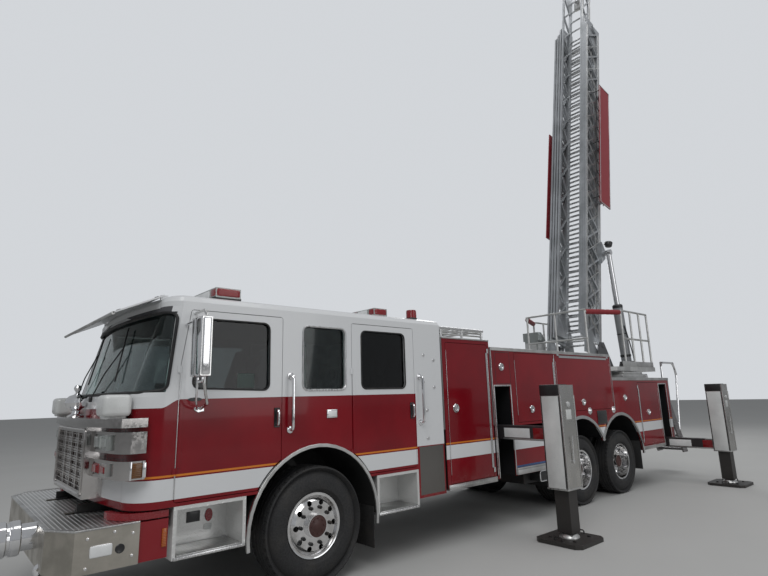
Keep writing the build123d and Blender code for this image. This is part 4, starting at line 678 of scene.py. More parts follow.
def tube(points, radius, bend=0.03, closed=False, sides=3):
    """A bent tube through points, each corner rounded by the bend."""
    clear()
    bpy.ops.curve.primitive_bezier_curve_add()
    piece = bpy.context.object
    piece.matrix_world = Matrix.Identity(4)
    curve = piece.data
    curve.dimensions = "3D"
    spots = [Vector(p) for p in points]
    count = len(spots)
    knots = []
    for number, spot in enumerate(spots):
        if not closed and number in (0, count - 1):
            away = (spots[1] - spot) * 0.3 if number == 0 else (spot - spots[-2]) * 0.3
            knots.append((spot, spot - away, spot + away))
            continue
        before, after = spots[number - 1], spots[(number + 1) % count]
        back, on = before - spot, after - spot
        reach = min(bend, back.length * 0.45, on.length * 0.45)
        first, second = spot + back.normalized() * reach, spot + on.normalized() * reach
        knots.append((first, first + back.normalized() * reach * 0.5, first + (spot - first) * 0.55))
        knots.append((second, second + (spot - second) * 0.55, second + on.normalized() * reach * 0.5))
    spline = curve.splines[0]
    spline.bezier_points.add(len(knots) - 2)
    spline.use_cyclic_u = closed
    for knot, (place, left, right) in zip(spline.bezier_points, knots):
        knot.handle_left_type = knot.handle_right_type = "FREE"
        knot.co, knot.handle_left, knot.handle_right = place, left, right
    curve.resolution_u = 4
    curve.bevel_depth = radius
    curve.bevel_resolution = sides
    curve.use_fill_caps = not closed
    bpy.ops.object.convert(target="MESH")
    return bpy.context.object


def turned(profile, centre, axis, steps=32):
    """A profile of (radius, along) pairs turned round an axis through a centre."""
    clear()
    bpy.ops.mesh.primitive_plane_add()
    piece = bpy.context.object
    centre, axis = Vector(centre), Vector(axis).normalized()
    out = axis.orthogonal().normalized()
    places = [centre + out * r + axis * a for r, a in profile]
    edit(piece)
    bpy.ops.mesh.select_mode(type="VERT")
    bpy.ops.mesh.select_all(action="SELECT")
    bpy.ops.mesh.merge(type="CENTER")
    mesh = bmesh.from_edit_mesh(piece.data)
    mesh.verts.ensure_lookup_table()
    mesh.verts[0].co = places[0]
    bmesh.update_edit_mesh(piece.data)
    for near, place in zip(places, places[1:]):
        bpy.ops.mesh.extrude_region_move(TRANSFORM_OT_translate={"value": place - near})
    bpy.ops.mesh.select_all(action="SELECT")
    bpy.ops.mesh.spin(steps=steps, angle=2 * math.pi, center=centre, axis=axis)
    bpy.ops.mesh.select_all(action="SELECT")
    bpy.ops.mesh.remove_doubles(threshold=0.00005)
    bpy.ops.mesh.normals_make_consistent(inside=False)
    leave()
    return piece


def ring_strip(centre, inner, outer, start, end, near, far, steps=24):
    """A flat bent strip round a wheel opening, between two angles above the front."""
    outline = []
    for radius, turn in ((outer, 1), (inner, -1)):
        for step in range(steps + 1)[::turn]:
            angle = math.radians(start + (end - start) * step / steps)
            outline.append((centre[0] + radius * math.cos(angle), centre[1] + radius * math.sin(angle)))
    return plate(outline, "Y", near, far, 0.0025)


def copied(piece, matrix):
    """A copy with its own mesh, moved by a matrix."""
    made = piece.copy()
    made.data = piece.data.copy()
    bpy.context.collection.objects.link(made)
    made.data.transform(matrix)
    return made


def flipped(piece):
    """Moves a piece to the other side of the truck."""
    piece.data.transform(Matrix.Scale(-1, 4, (0, 1, 0)))
    piece.data.flip_normals()
    return piece


def turned_copies(piece, count, centre):
    """A piece and its copies spread evenly round a wheel's axle."""
    made = [piece]
    move = Matrix.Translation(centre)
    for number in range(1, count):
        turn = Matrix.Rotation(2 * math.pi * number / count, 4, "Y")
        made.append(copied(piece, move @ turn @ move.inverted()))
    return made


def joined(parts):
    """One piece from a piece or a list of them."""
    parts = parts if isinstance(parts, list) else [parts]
    clear()
    for part in parts:
        part.select_set(True)
    bpy.context.view_layer.objects.active = parts[0]
    if len(parts) > 1:
        bpy.ops.object.join()
    return bpy.context.view_layer.objects.active


def fit(name, parts, finish, body, smooth=30):
    """Joins the parts into one named piece, gives it its finish and hangs it on a body."""
    piece = joined(parts)
    only(piece)
    bpy.ops.object.transform_apply(location=True, rotation=True, scale=True)
    bpy.ops.object.shade_smooth_by_angle(angle=math.radians(smooth))
    piece.name = name
    piece.data.name = name
    piece.data.materials.clear()
    piece.data.materials.append(finish)
    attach(piece, body)
    return piece


def on_side(sign, name, parts, finish, body):
    """Fits a piece made for the left side on the side that the sign gives."""
    piece = joined(parts)
    fit(name, piece if sign > 0 else flipped(piece), finish, body)


def both_sides(name, parts, finish, body):
    """Fits a piece made for the left side, and its mirror image on the right."""
    piece = joined(parts)
    other = flipped(copied(piece, Matrix.Identity(4)))
    for side, item in (("left", piece), ("right", other)):
        fit(f"{name}_{side}", item, finish, body.replace("SIDE", side))


# Camera

EYE = Vector((6.59665, 5.71814, 1.76305))
YAW, PITCH, ROLL = 3.99641736, 0.204948227, -0.0263973643


def camera():
    """The photograph's camera, worked out from the truck's own edges."""
    ahead = Vector((math.cos(PITCH) * math.cos(YAW), math.cos(PITCH) * math.sin(YAW), math.sin(PITCH)))
    right = Vector((math.sin(YAW), -math.cos(YAW), 0))
    up = right.cross(ahead)
    level, tilt = math.cos(ROLL), math.sin(ROLL)
    axis_x = right * level + up * tilt
    axis_y = up * level - right * tilt
    turn = Matrix((axis_x, axis_y, -ahead)).transposed().to_4x4()
    clear()
    bpy.ops.object.camera_add()
    made = bpy.context.object
    made.name = "photo_camera"
    made.matrix_world = Matrix.Translation(EYE) @ turn
    made.data.lens = 24.33
    made.data.sensor_width = 36.0
    made.data.clip_end = 200.0
    bpy.context.scene.camera = made


# Wheels

def tyre(name, x, centres, radius, width, body, node):
    """A tyre with grooves round its tread and cuts across its shoulders."""
    half, base, bead, wall = width / 2, 0.2893, 0.103, 0.304
    made = []
    for y in centres:
        profile = [(base, -bead), (wall, -bead - 0.004)]
        for share in (0.15, 0.32, 0.5, 0.68, 0.86):
            grow = wall + (radius - 0.02 - wall) * share
            swell = math.sin(math.pi * min(1.0, 0.16 + share)) ** 0.5
            profile.append((grow, -bead - (half - bead) * swell))
        profile += [(radius - 0.02, 0.012 - half), (radius - 0.006, 0.018 - half), (radius, 0.034 - half)]
        for groove in (-0.27, -0.09, 0.09, 0.27):
            place = groove * width
            profile += [(radius, place - 0.006), (radius - 0.013, place - 0.003)]
            profile += [(radius - 0.013, place + 0.003), (radius, place + 0.006)]
        side = [(r, -a) for r, a in profile[:10]]
        piece = turned(profile + side[::-1], (x, y, radius), (0, 1, 0), 90)
        edit(piece)

        def shoulder(c, n, y=y):
            angle = math.degrees(math.atan2(c.z - radius, c.x - x)) % 8
            far = math.hypot(c.z - radius, c.x - x)
            return far > radius - 0.004 and abs(c.y - y) > width * 0.3 and angle < 4

        pick_faces(piece, shoulder)
        bpy.ops.mesh.inset(thickness=0.003, depth=-0.009, use_individual=True)
        leave()
        made.append(piece)
    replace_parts(fit(name, made, tyre_rubber, body, 38), node)


def wheel_nuts(x, z, face, sign):
    """Ten nuts on their studs in a ring on the disc."""
    out = x + 0.1675
    nut = drum((out, sign * face, z), (out, sign * (face + 0.022), z), 0.018, 0.003, 6)
    stud = drum((out, sign * (face + 0.018), z), (out, sign * (face + 0.036), z), 0.009, 0.002, 10)
    return turned_copies(joined([nut, stud]), 10, (x, 0, z))


def hub_cover(x, z, end, sign):
    """The hub's cap and the small bolts round it."""
    profile = [(0, 0.008), (0.044, 0.008), (0.054, 0.003), (0.086, 0.003), (0.09, -0.002), (0.0, -0.002)]
    shape = turned([(r, sign * (end + a)) for r, a in profile], (x, 0, z), (0, 1, 0), 36)
    bolt = drum((x + 0.07, sign * (end + 0.002), z), (x + 0.07, sign * (end + 0.01), z), 0.008, 0.002, 6)
    return [shape] + turned_copies(bolt, 8, (x, 0, z))


def wheels():
    for side, sign in SIDES:
        rows = [("front", AXLE, 0.55, 0.32, (1.035,), 1.165, 1.21, 1.15, "wheel", "tyre")]
        rows += [
            (place, x, 0.53, 0.285, (1.045, 0.705), 0.875, 1.115, 1.16, "wheels", "tyres")
            for place, x in zip(("fore", "aft"), TANDEM)
        ]
        for place, x, radius, width, centres, face, end, lip, wheel, node in rows:
            body = f"{place}_{wheel}_{side}"
            middles = [sign * y for y in centres]
            tyre(f"{place}_tread_{side}", x, middles, radius, width, body, f"{place}_{node}_{side}")
            fit(f"{place}_nuts_{side}", wheel_nuts(x, radius, face, sign), chassis_black, body)
            fit(f"{place}_hub_{side}", hub_cover(x, radius, end, sign), hub_brown, body)
            profile = [(0.29, 0.0), (0.3, 0.003), (0.304, -0.004), (0.296, -0.012)]
            ring = turned([(r, sign * (lip + a)) for r, a in profile], (x, 0, radius), (0, 1, 0), 64)
            fit(f"{place}_lip_{side}", ring, chrome, body)


# Cab

def skin(z, y):
    """The cab's face at a height: how far forward its skin lies at a place across."""
    crown, corner_width = 0.085, 0.235
    share = min(1.0, max(0.0, (z - 1.805) / 0.77))
    face = 5.42 + (5.205 - 5.42) * share
    corner = 5.09 + (5.0 - 5.09) * share
    edge_x, edge_y = face - crown, HALF - corner_width
    if abs(y) <= edge_y:
        radius = (edge_y ** 2 + crown ** 2) / (2 * crown)
        return face - radius + math.sqrt(radius ** 2 - y ** 2)
    lift = math.acos(min(1.0, (abs(y) - edge_y) / corner_width))
    return corner + (edge_x - corner) * math.sin(lift)


def screen_seal():
    """The line round the windscreen, along its foot, up its rear edges and across its head."""
    across = (-1.12, -0.985, -0.7, -0.35, 0, 0.35, 0.7, 0.985, 1.12)
    foot = [(skin(1.84, y) + 0.002, y, 1.84) for y in across]
    head = [(skin(2.525, y) + 0.002, y, 2.525) for y in across[::-1]]
    left = [(5.1, 1.222, 1.86), (5.04, 1.222, 2.5)]
    right = [(x, -y, z) for x, y, z in left[::-1]]
    return tube(foot + left + head + right, 0.014, 0.05, True)


def window_seal(outline, radius=0.009):
    return tube([(x, 1.219, z) for x, z in outline], radius, 0.06, True)


FRONT_WINDOW = ((4.89, 1.87), (4.835, 2.475), (4.16, 2.475), (4.155, 1.845))
CREW_WINDOW = ((3.04, 1.845), (3.04, 2.475), (2.39, 2.475), (2.39, 1.845))
MIDDLE_WINDOW = ((3.786, 1.839), (3.786, 2.481), (3.254, 2.481), (3.254, 1.839))


def grab_rail(x, low, high):
    """An upright rail on two bent ends with round feet."""
    out = 1.285
    rail = tube([(x, HALF, low), (x, out, low), (x, out, high), (x, HALF, high)], 0.016, 0.03)
    return [rail] + [drum((x, 1.218, z), (x, 1.232, z), 0.034, 0.004) for z in (low, high)]


def door_handle(x):
    """The dished black plate behind a door's pull."""
    made = block((x - 0.03, 1.218, 1.5), (x + 0.03, 1.229, 1.68), 0.012, 3)
    return inset(made, lambda n: n.y > 0.9, (0.008, -0.004))


def mirror_head():
    """The mirror's two housings, split by a groove, on its post."""
    made = []
    for near, far in ((1.381, 1.468), (1.474, 1.609)):
        shell = block((4.887, near, 1.955), (4.982, far, 2.445), 0.024, 4)
        made.append(inset(shell, lambda n: n.x < -0.9, (0.01, -0.006)))
    loop = [(4.93, 1.44, 1.95), (4.93, 1.44, 1.915), (4.93, 1.54, 1.915), (4.93, 1.54, 1.95)]
    return made + [tube(loop, 0.01, 0.02)]


def mirror_glass():
    spans = ((1.395, 1.455), (1.49, 1.594))
    return [block((4.884, near, 1.975), (4.89, far, 2.425), 0.002) for near, far in spans]


def mirror_arms():
    """The mirror's stay at its foot, the arm at its head, and the small plate they are bolted to."""
    bracket = ((4.78, 1.7), (4.86, 1.715), (4.87, 1.69), (4.83, 1.665), (4.78, 1.675))
    return [
        plate(bracket, "Y", 1.218, 1.232, 0.003),
        tube([(4.84, 1.228, 1.69), (4.9, 1.36, 1.72), (4.93, 1.42, 1.8), (4.93, 1.44, 1.93)], 0.009, 0.05),
        tube([(4.97, 1.222, 2.41), (4.95, 1.3, 2.425), (4.93, 1.39, 2.425)], 0.012, 0.03),
    ]


def lamp_face(low, high):
    """A lens that stands a little proud of its bezel."""
    return inset(block(low, high, 0.02, 4), lambda n: n.x > 0.9, (0.012, 0.012))


def bell_lamp():
    """The bright lamp in the middle of the shelf, with its cap and finial."""
    profile = [(0, 0.0), (0.07, 0.0), (0.075, 0.012), (0.04, 0.03), (0.032, 0.06), (0.05, 0.075)]
    profile += [(0.088, 0.1), (0.1, 0.135), (0.092, 0.175), (0.066, 0.2), (0.03, 0.212), (0.016, 0.225)]
    profile += [(0.018, 0.24), (0.03, 0.255), (0.034, 0.275), (0.026, 0.296), (0, 0.305)]
    return turned(profile, (5.5, -0.1, 1.64), (0, 0, 1), 32)


def grille_rods():
    """Rounded rods over the grille's bars, and the frame's bright lips."""
    made = []
    low, high, half_width = 1.046, 1.514, 0.535
    row_pitch, column_pitch = 0.47 / 12, 0.0635
    for row in range(12):
        z = low - 0.001 + (row + 0.5) * row_pitch
        made.append(drum((5.515, -half_width, z), (5.515, half_width, z), 0.006, 0.0, 10))
    for column in range(-8, 9):
        y = column * column_pitch
        made.append(drum((5.505, y, low), (5.505, y, high), 0.006, 0.0, 10))
    frame_line = [(5.541, -0.57, 1.015), (5.541, 0.57, 1.015), (5.541, 0.57, 1.545), (5.541, -0.57, 1.545)]
    return made + [tube(frame_line, 0.012, 0.03, True)]


def beacon():
    """A domed roof beacon."""
    profile = [(0, 0.126), (0.045, 0.1255), (0.061, 0.122), (0.0645, 0.105), (0.0645, 0.024), (0.0, 0.024)]
    return turned(profile, (2.12, 1.08, 2.68), (0, 0, 1), 32)


def seat(x, back, y):
    """A cushion, a back with two sewn grooves and a headrest."""
    cushion = block((x - 0.24, y - 0.235, 1.33), (x + 0.24, y + 0.235, 1.455), 0.045, 4)
    outline = ((back + 0.045, 1.43), (back + 0.165, 1.43), (back + 0.125, 2.0), (back + 0.02, 2.0))
    rest = plate(outline, "Y", y - 0.225, y + 0.225, 0.03, 4)
    head = block((back + 0.005, y - 0.14, 1.985), (back + 0.095, y + 0.14, 2.16), 0.035, 4)
    for shape in (cushion, rest):
        inset(shape, lambda n: n.z > 0.8 or n.x > 0.8, (0.03, 0.0), (0.008, -0.008), (0.02, 0.014))
    return [cushion, rest, head]


# Middle, back and side place of each seat: two in front, four behind
SEATS = [(4.32, 4.08, y) for y in (-0.69, 0.69)] + [(2.35, 2.04, y) for y in (-0.8, -0.27, 0.27, 0.8)]


def cab_inside():
    """Dashboard, seat stands, steering wheel and the seats themselves."""
    shape = ((5.0, 1.5), (5.25, 1.56), (5.25, 1.8), (5.12, 1.815), (5.0, 1.7))
    dash = plate(shape, "Y", -0.995, 0.995, 0.02, 3)
    base = block((5.12, -0.9, 0.98), (5.25, 0.9, 1.56), 0.01)
    hood = plate(((4.99, 1.69), (5.1, 1.8), (5.08, 1.845), (4.96, 1.72)), "Y", 0.42, 0.86, 0.015, 3)
    stands = [block((x - 0.16, y - 0.15, 0.98), (x + 0.1, y + 0.15, 1.335), 0.02) for x, back, y in SEATS]
    piece = fit("dashboard", [dash, base, hood] + stands, dash_grey, "cab")
    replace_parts(piece, "cab_interior")
    centre, lean = Vector((4.862, 0.64, 1.722)), Vector((-0.6, 0, 0.8))
    turns = [math.pi * n / 6 for n in range(13)]
    wheel = turned([(0.205 + 0.015 * math.cos(a), 0.015 * math.sin(a)) for a in turns], centre, lean, 40)
    side = lean.orthogonal().normalized()
    spokes = [
        tube([centre - lean * 0.015, centre + turn @ side * 0.2], 0.011, 0.01)
        for turn in (Matrix.Rotation(math.radians(angle), 3, lean) for angle in (30, 150, 270))
    ]
    boss = drum(centre - lean * 0.04, centre + lean * 0.012, 0.05, 0.008)
    column = drum((5.03, 0.64, 1.6), centre - lean * 0.03, 0.028, 0.003)
    fit("steering_wheel", [wheel, boss, column] + spokes, black_trim, "cab")
    for number, place in enumerate(SEATS):
        piece = fit(f"seat_{number + 1}", seat(*place), seat_cover, "cab", 50)


def oval(x, z, wide, high, near, far):
    """An oval plate on the truck's side."""
    turns = [math.pi * n / 10 for n in range(20)]
    return plate([(x + wide * math.cos(a), z + high * math.sin(a)) for a in turns], "Y", near, far, 0.003)


def step_edge(low, high):
    """The bolted lip of a step well."""
    made = [block((low, 1.2, 0.523), (high, 1.236, 0.549), 0.006)]
    for number in range(12):
        x = low + 0.03 + number * (high - low - 0.06) / 11
        made.append(drum((x, 1.234, 0.536), (x, 1.242, 0.536), 0.007, 0.002, 10))
    return made


def cab_doors():
    """Window seals, rails, handles, mirrors and the fittings of the four doors."""
    front, crew = "front_door_SIDE", "crew_door_SIDE"
    both_sides("front_window_seal", window_seal(FRONT_WINDOW), seal_rubber, front)
    both_sides("crew_window_seal", window_seal(CREW_WINDOW), seal_rubber, crew)
    both_sides("middle_window_ring", window_seal(MIDDLE_WINDOW, 0.011), bright, "cab")
    both_sides("front_grab_rail", grab_rail(3.93, 1.47, 1.98), chrome, "cab")
    both_sides("crew_grab_rail", grab_rail(2.17, 1.45, 1.98), chrome, "cab")
    for name, x, body in (("front", 4.07, front), ("crew", 2.3, crew)):
        pull = [(x, 1.224, 1.52), (x, 1.257, 1.53), (x, 1.257, 1.65), (x, 1.224, 1.66)]
        both_sides(f"{name}_handle", door_handle(x), black_trim, body)
        both_sides(f"{name}_pull", tube(pull, 0.013, 0.015), chrome, body)
    both_sides("mirror_head", mirror_head(), chrome, front)
    both_sides("mirror_glass", mirror_glass(), side_glass, front)
    both_sides("mirror_arms", mirror_arms(), chrome, front)
    both_sides("window_label", block((4.3, 1.196, 1.87), (4.47, 1.2, 2.0), 0.001), pale_label, front)
    both_sides("cab_vent", oval(4.86, 1.776, 0.062, 0.016, 1.217, 1.224), black_trim, front)


def cab_sides():
    """Lights, arch trims, flaps, strips and steps on both sides of the cab."""
    light = block((3.375, 1.217, 1.557), (3.505, 1.237, 1.643), 0.018, 4)
    both_sides("cab_side_light", light, chrome, "cab")
    lens_block = block((3.388, 1.232, 1.57), (3.492, 1.243, 1.63), 0.01, 3)
    both_sides("cab_side_lens", lens_block, plain_lens, "cab")
    arch = ring_strip((AXLE, 0.56), 0.724, 0.756, -8, 188, 1.214, 1.236)
    both_sides("front_arch_trim", arch, aluminium, "cab")
    flap = block((2.875, 0.86, 0.21), (2.885, 1.19, 0.62), 0.003)
    both_sides("front_flap", flap, flap_rubber, "cab")
    strip = block((4.994, FOOT, 0.99), (5.002, 1.226, 2.02), 0.002)
    both_sides("door_front_strip", strip, bright, "cab")
    for name, low, high in (("front", 4.37, 4.98), ("crew", 2.24, 2.84)):
        both_sides(f"{name}_step_edge", step_edge(low, high), bright, "cab")
        board = block((low + 0.03, 0.9, 0.545), (high - 0.03, 1.215, 0.557), 0.004)
        both_sides(f"{name}_step_tread", board, tread, "cab")
    well = 0.888
    socket = block((4.64, well, 0.72), (4.76, 0.898, 0.81), 0.006)
    both_sides("step_socket", socket, black_trim, "cab")
    both_sides("step_button", oval(4.56, 0.76, 0.035, 0.055, well, 0.9), red_paint, "cab")
    both_sides("step_plate", block((4.53, well, 0.64), (4.6, 0.896, 0.685), 0.003), plate_paint, "cab")


def wipers():
    """Two arms on their pivots, each with its blade across the screen."""
    made = []
    for y in (0.12, -0.75):
        root = Vector((skin(1.8, y) + 0.012, y, 1.8))
        tip = Vector((skin(2.25, y + 0.42) + 0.016, y + 0.42, 2.25))
        low = Vector((skin(1.95, y + 0.5) + 0.008, y + 0.5, 1.95))
        high = Vector((skin(2.45, y + 0.34) + 0.008, y + 0.34, 2.45))
        made.append(tube([root, root.lerp(tip, 0.5) + Vector((0.02, 0, 0)), tip], 0.006, 0.02))
        made.append(tube([low, high], 0.007, 0.01))
        made.append(drum(root - Vector((0.014, 0, 0)), root + Vector((0.014, 0, 0)), 0.022, 0.004))
    return made


def cab_face():
    """Lamps, grille, shelf lights and wipers on the front of the cab."""
    corner = block((5.262, 1.235, 1.187), (5.345, 1.264, 1.303), 0.012, 3)
    both_sides("corner_lamp", corner, amber_lens, "cab")
    end = block((5.232, 1.225, 1.187), (5.262, 1.262, 1.303), 0.008, 3)
    both_sides("corner_lamp_end", end, chrome, "cab")
    spans = ((5.342, 0.014), (5.259, 0.005))
    trims = [block((x, 1.21, 1.176), (x + wide, 1.268, 1.314), 0.003) for x, wide in spans]
    both_sides("corner_lamp_trim", trims, chrome, "cab")
    fit("grille_screen", block((5.426, -0.545, 1.04), (5.432, 0.545, 1.52), 0.002), grille_screen, "cab")
    fit("grille_rods", grille_rods(), grille_chrome, "cab")
    places = ((5.46, 5.492, 0.722, 0.868), (5.43, 5.478, 0.902, 1.048))
    for name, low, high, finish in (("high", 1.4, 1.505, clear_lens), ("low", 1.205, 1.285, red_lens)):
        pair = [lamp_face((rear, near, low), (front, far, high)) for rear, front, near, far in places]
        both_sides(f"{name}_lamp", pair, finish, "cab")
    fit("bell_lamp", bell_lamp(), chrome, "cab")
    housing = block((5.33, 0.87, 1.655), (5.545, 1.13, 1.83), 0.038, 5)
    foot = block((5.36, 0.92, 1.638), (5.52, 1.08, 1.67), 0.008)
    both_sides("shelf_light", [housing, foot], white_paint, "cab")
    fit("wipers", wipers(), black_trim, "cab")


def visor_clips():
    """The clips along the visor, on its upper face."""
    made = []
    for share in (0.1, 0.85):
        x, z = 5.09 + 0.41 * share, 2.703 - 0.19 * share
        for step in range(9):
            y = -0.92 + step * 0.23
            made.append(drum((x, y, z - 0.008), (x + 0.006, y, z + 0.006), 0.02, 0.003, 14))
    return made


def cab_roof():
    """Lenses on the light bars, beacons, the visor's clips and the cover on the roof."""
    fit("visor_clips", visor_clips(), black_trim, "cab")
    fit("visor_edge", tube([(5.5, -1.0, 2.503), (5.5, 1.0, 2.503)], 0.014, 0.01), aluminium, "cab")
    base = [
        block((4.39, 0.335, 2.7), (4.66, 1.065, 2.722)),
        block((4.41, 0.345, 2.678), (4.64, 1.055, 2.702)),
    ]
    both_sides("light_bar_base", base, black_trim, "cab")
    front_bar, rear_bar = (4.396, 4.654, 2.716, 2.814), (2.496, 2.704, 2.7, 2.795)
    for name, (rear, front, low, high), near, far, finish in (
        ("light_bar_inner", front_bar, 0.325, 0.43, pink_lens),
        ("light_bar_clear", front_bar, 0.432, 0.93, plain_lens),
        ("light_bar_end", front_bar, 0.932, 1.075, red_lens),
        ("rear_bar_red", rear_bar, 0.416, 0.72, red_lens),
        ("rear_bar_clear", rear_bar, 0.722, 0.93, plain_lens),
        ("rear_bar_end", rear_bar, 0.932, 1.054, red_lens),
    ):
        both_sides(name, block((rear, near, low), (front, far, high), 0.028, 4), finish, "cab")
    both_sides("beacon", beacon(), red_lens, "cab")
    beacon_base = drum((2.12, 1.08, 2.678), (2.12, 1.08, 2.706), 0.07, 0.005, 32)
    both_sides("beacon_base", beacon_base, black_trim, "cab")
    fit("roof_hatch", block((3.51, -0.46, 2.676), (4.23, 0.46, 2.744), 0.03, 3), white_paint, "cab")


def cab():
    fit("windscreen_seal", screen_seal(), seal_rubber, "cab")
    cab_doors()
    cab_sides()
    cab_face()
    cab_roof()
    cab_inside()


# Bumper

def siren():
    """The siren's stepped shell and the slats across its mouth."""
    y, z = 0.62, 0.77
    shape = [(0, 0.276), (0.02, 0.275), (0.03, 0.262), (0.085, 0.262), (0.1, 0.27), (0.122, 0.268)]
    shape += [(0.129, 0.26), (0.129, 0.212), (0.124, 0.206), (0.115, 0.206), (0.113, 0.176), (0.124, 0.17)]
    shape += [(0.128, 0.164), (0.128, 0.122), (0.12, 0.114), (0.098, 0.11), (0.098, 0.0)]
    fit("siren_shell", turned(shape, (5.826, y, z), (1, 0, 0), 40), chrome, "chassis")
    slats = []
    for number in range(-5, 6):
        across = number * 0.016
        reach = math.sqrt(0.09 ** 2 - across ** 2)
        slats.append(drum((6.08, y + across, z - reach), (6.08, y + across, z + reach), 0.005, 0.0, 8))
    fit("siren_slats", slats, black_trim, "chassis")


def bumper():
    """The deck's lip, side lamps, hooks, bolts and the risers behind it."""
    siren()
    edge = ((5.24, 1.226), (5.688, 1.226), (5.84, 0.995), (5.84, -0.995), (5.688, -1.226), (5.24, -1.226))
    inner = ((5.24, 1.19), (5.67, 1.19), (5.806, 0.98), (5.806, -0.98), (5.67, -1.19), (5.24, -1.19))
    fit("bumper_lip", plate(edge + inner[::-1], "Z", 0.853, 0.867, 0.003), tread, "chassis")
    lamp = block((5.43, 1.216, 0.665), (5.58, 1.236, 0.745), 0.018, 4)
    both_sides("bumper_lamp", lamp, plain_lens, "chassis")
    round_lamp = [(5.432, 0.667), (5.578, 0.667), (5.578, 0.743), (5.432, 0.743)]
    rim = tube([(x, 1.222, z) for x, z in round_lamp], 0.006, 0.02, True)
    both_sides("bumper_lamp_rim", rim, chrome, "chassis")
    hole = [(0, 0.002), (0.024, 0.003), (0.03, 0.006), (0.034, 0.003), (0.034, -0.002), (0, -0.002)]
    both_sides("bumper_hole", turned(hole, (5.375, HALF, 0.695), (0, 1, 0), 24), black_trim, "chassis")
    bolts = [
        drum((x, 1.219, z), (x, 1.228, z), 0.012, 0.003, 6)
        for x, z in ((5.29, 0.79), (5.29, 0.63), (5.6, 0.8), (5.42, 0.82), (5.6, 0.6))
    ]
    both_sides("bumper_bolts", bolts, chrome, "chassis")
    bend = ((5.6, 0.6), (5.7, 0.52), (5.83, 0.51), (5.85, 0.58), (5.8, 0.6))
    both_sides("tow_hook", tube([(x, 0.84, z) for x, z in bend], 0.02, 0.04), chrome, "chassis")
    riser = ((5.02, 1.2), (5.2, 1.2), (5.3, 1.155), (5.38, 1.06), (5.42, 0.96), (5.42, 0.88))
    riser += ((5.37, 0.88), (5.35, 0.98), (5.28, 1.08), (5.18, 1.155), (5.02, 1.16))
    both_sides("bumper_riser", plate(riser, "Z", 0.862, 0.916, 0.002), red_paint, "chassis")
    marker = block((5.03, 1.197, 0.64), (5.068, 1.212, 0.78), 0.006)
    both_sides("front_marker", marker, orange_lens, "chassis")


# Pump module and body

def latch(x, z):
    """A recessed round plate with a folding ring."""
    dish = [(0, 0.009), (0.03, 0.01), (0.036, 0.014), (0.05, 0.015)]
    dish += [(0.054, 0.01), (0.055, -0.001), (0, -0.001)]
    ring = [(0.034, 0.014), (0.042, 0.02), (0.036, 0.025), (0.03, 0.02), (0.034, 0.014)]
    return [turned(profile, (x, HALF, z), (0, 1, 0), 28) for profile in (dish, ring)]


def edge_strips(front, rear, low, high):
    """Thin bright strips down the two upright edges of a door."""
    return [block((x, 1.219, low), (x + 0.006, 1.2225, high), 0.001) for x in (front - 0.009, rear + 0.003)]


BODY_DOORS = (
    # name, low, high, height of the latch, then front edge, rear edge and latch on the left and on the right
    ("pump_door", 0.7, 2.41, 1.59, (1.68, 0.85, 1.54), (1.68, 0.85, 1.54)),
    ("locker_door", 1.35, 2.325, 1.52, (0.23, -0.8, -0.12), (0.01, -0.8, -0.34)),
    ("upper_door", 1.45, 2.325, 1.58, (-0.86, -2.64, -1.61), (-0.86, -2.64, -1.61)),
    ("tail_door", 0.735, 1.885, 1.33, (-3.67, -4.565, -4.03), (-3.67, -4.345, -4.03)),
)


def door_trims():
    for name, low, high, height, *edges in BODY_DOORS:
        for (side, sign), (front, rear, x) in zip(SIDES, edges):
            body = f"{name}_{side}"
            strips = edge_strips(front, rear, low + 0.1, high - 0.1)
            on_side(sign, f"{name}_trim_{side}", strips, bright, body)
            on_side(sign, f"{name}_latch_{side}", latch(x, height), chrome, body)


def port(x, z):
    """A round bright filler port with a stepped cap."""
    profile = [(0, 0.03), (0.02, 0.03), (0.025, 0.022), (0.04, 0.02), (0.05, 0.012)]
    profile += [(0.0575, 0.008), (0.06, -0.002), (0, -0.002)]
    return turned(profile, (x, HALF, z), (0, 1, 0), 28)


def slot_frame(lane):
    """Bright trim round an outrigger's slot."""
    low, high = 0.66, 1.862
    near, far = lane - 0.182, lane + 0.182
    return [
        block((near - 0.016, FOOT, low), (near + 0.004, 1.227, high), 0.003),
        block((far - 0.004, FOOT, low), (far + 0.016, 1.227, high), 0.003),
        block((near - 0.016, FOOT, high - 0.01), (far + 0.016, 1.227, high + 0.012), 0.003),
    ]


def small_door(lane):
    """The seams of the small fixed panel over a front jack's slot."""
    low, high, rear, front = 1.885, 2.32, lane - 0.205, lane + 0.13
    lines = [((x, FOOT, low), (x + 0.005, 1.2215, high)) for x in (rear, front)]
    lines += [((rear, FOOT, z), (front, 1.2215, z + 0.005)) for z in (low, high)]
    return [block(*line, 0.001) for line in lines]


def side_rails(side, sign, front_lane, rear_lane):
    """Slot trims, rub rails and the stripe over them on one side."""
    on_side(sign, f"small_door_seams_{side}", small_door(front_lane), black_trim, "chassis")
    on_side(sign, f"small_door_latch_{side}", latch(front_lane, 2.12), chrome, "chassis")
    for name, lane in (("front", front_lane), ("rear", rear_lane)):
        on_side(sign, f"{name}_slot_trim_{side}", slot_frame(lane), bright, "chassis")
    start, end = -0.78, front_lane - 0.2
    rail = [
        block((start, 1.215, 0.655), (end, 1.243, 0.72), 0.008),
        block((start, 1.217, 0.722), (end, 1.236, 0.745)),
    ]
    on_side(sign, f"rub_rail_{side}", rail, aluminium, "chassis")
    stripe = block((start, 1.219, 0.748), (end, 1.2235, 0.775), 0.001)
    on_side(sign, f"blue_stripe_{side}", stripe, blue_edge, "chassis")
    tail_rail = block((rear_lane + 0.2, 1.215, 0.655), (-3.62, 1.243, 0.715), 0.008)
    on_side(sign, f"tail_rub_rail_{side}", tail_rail, aluminium, "chassis")


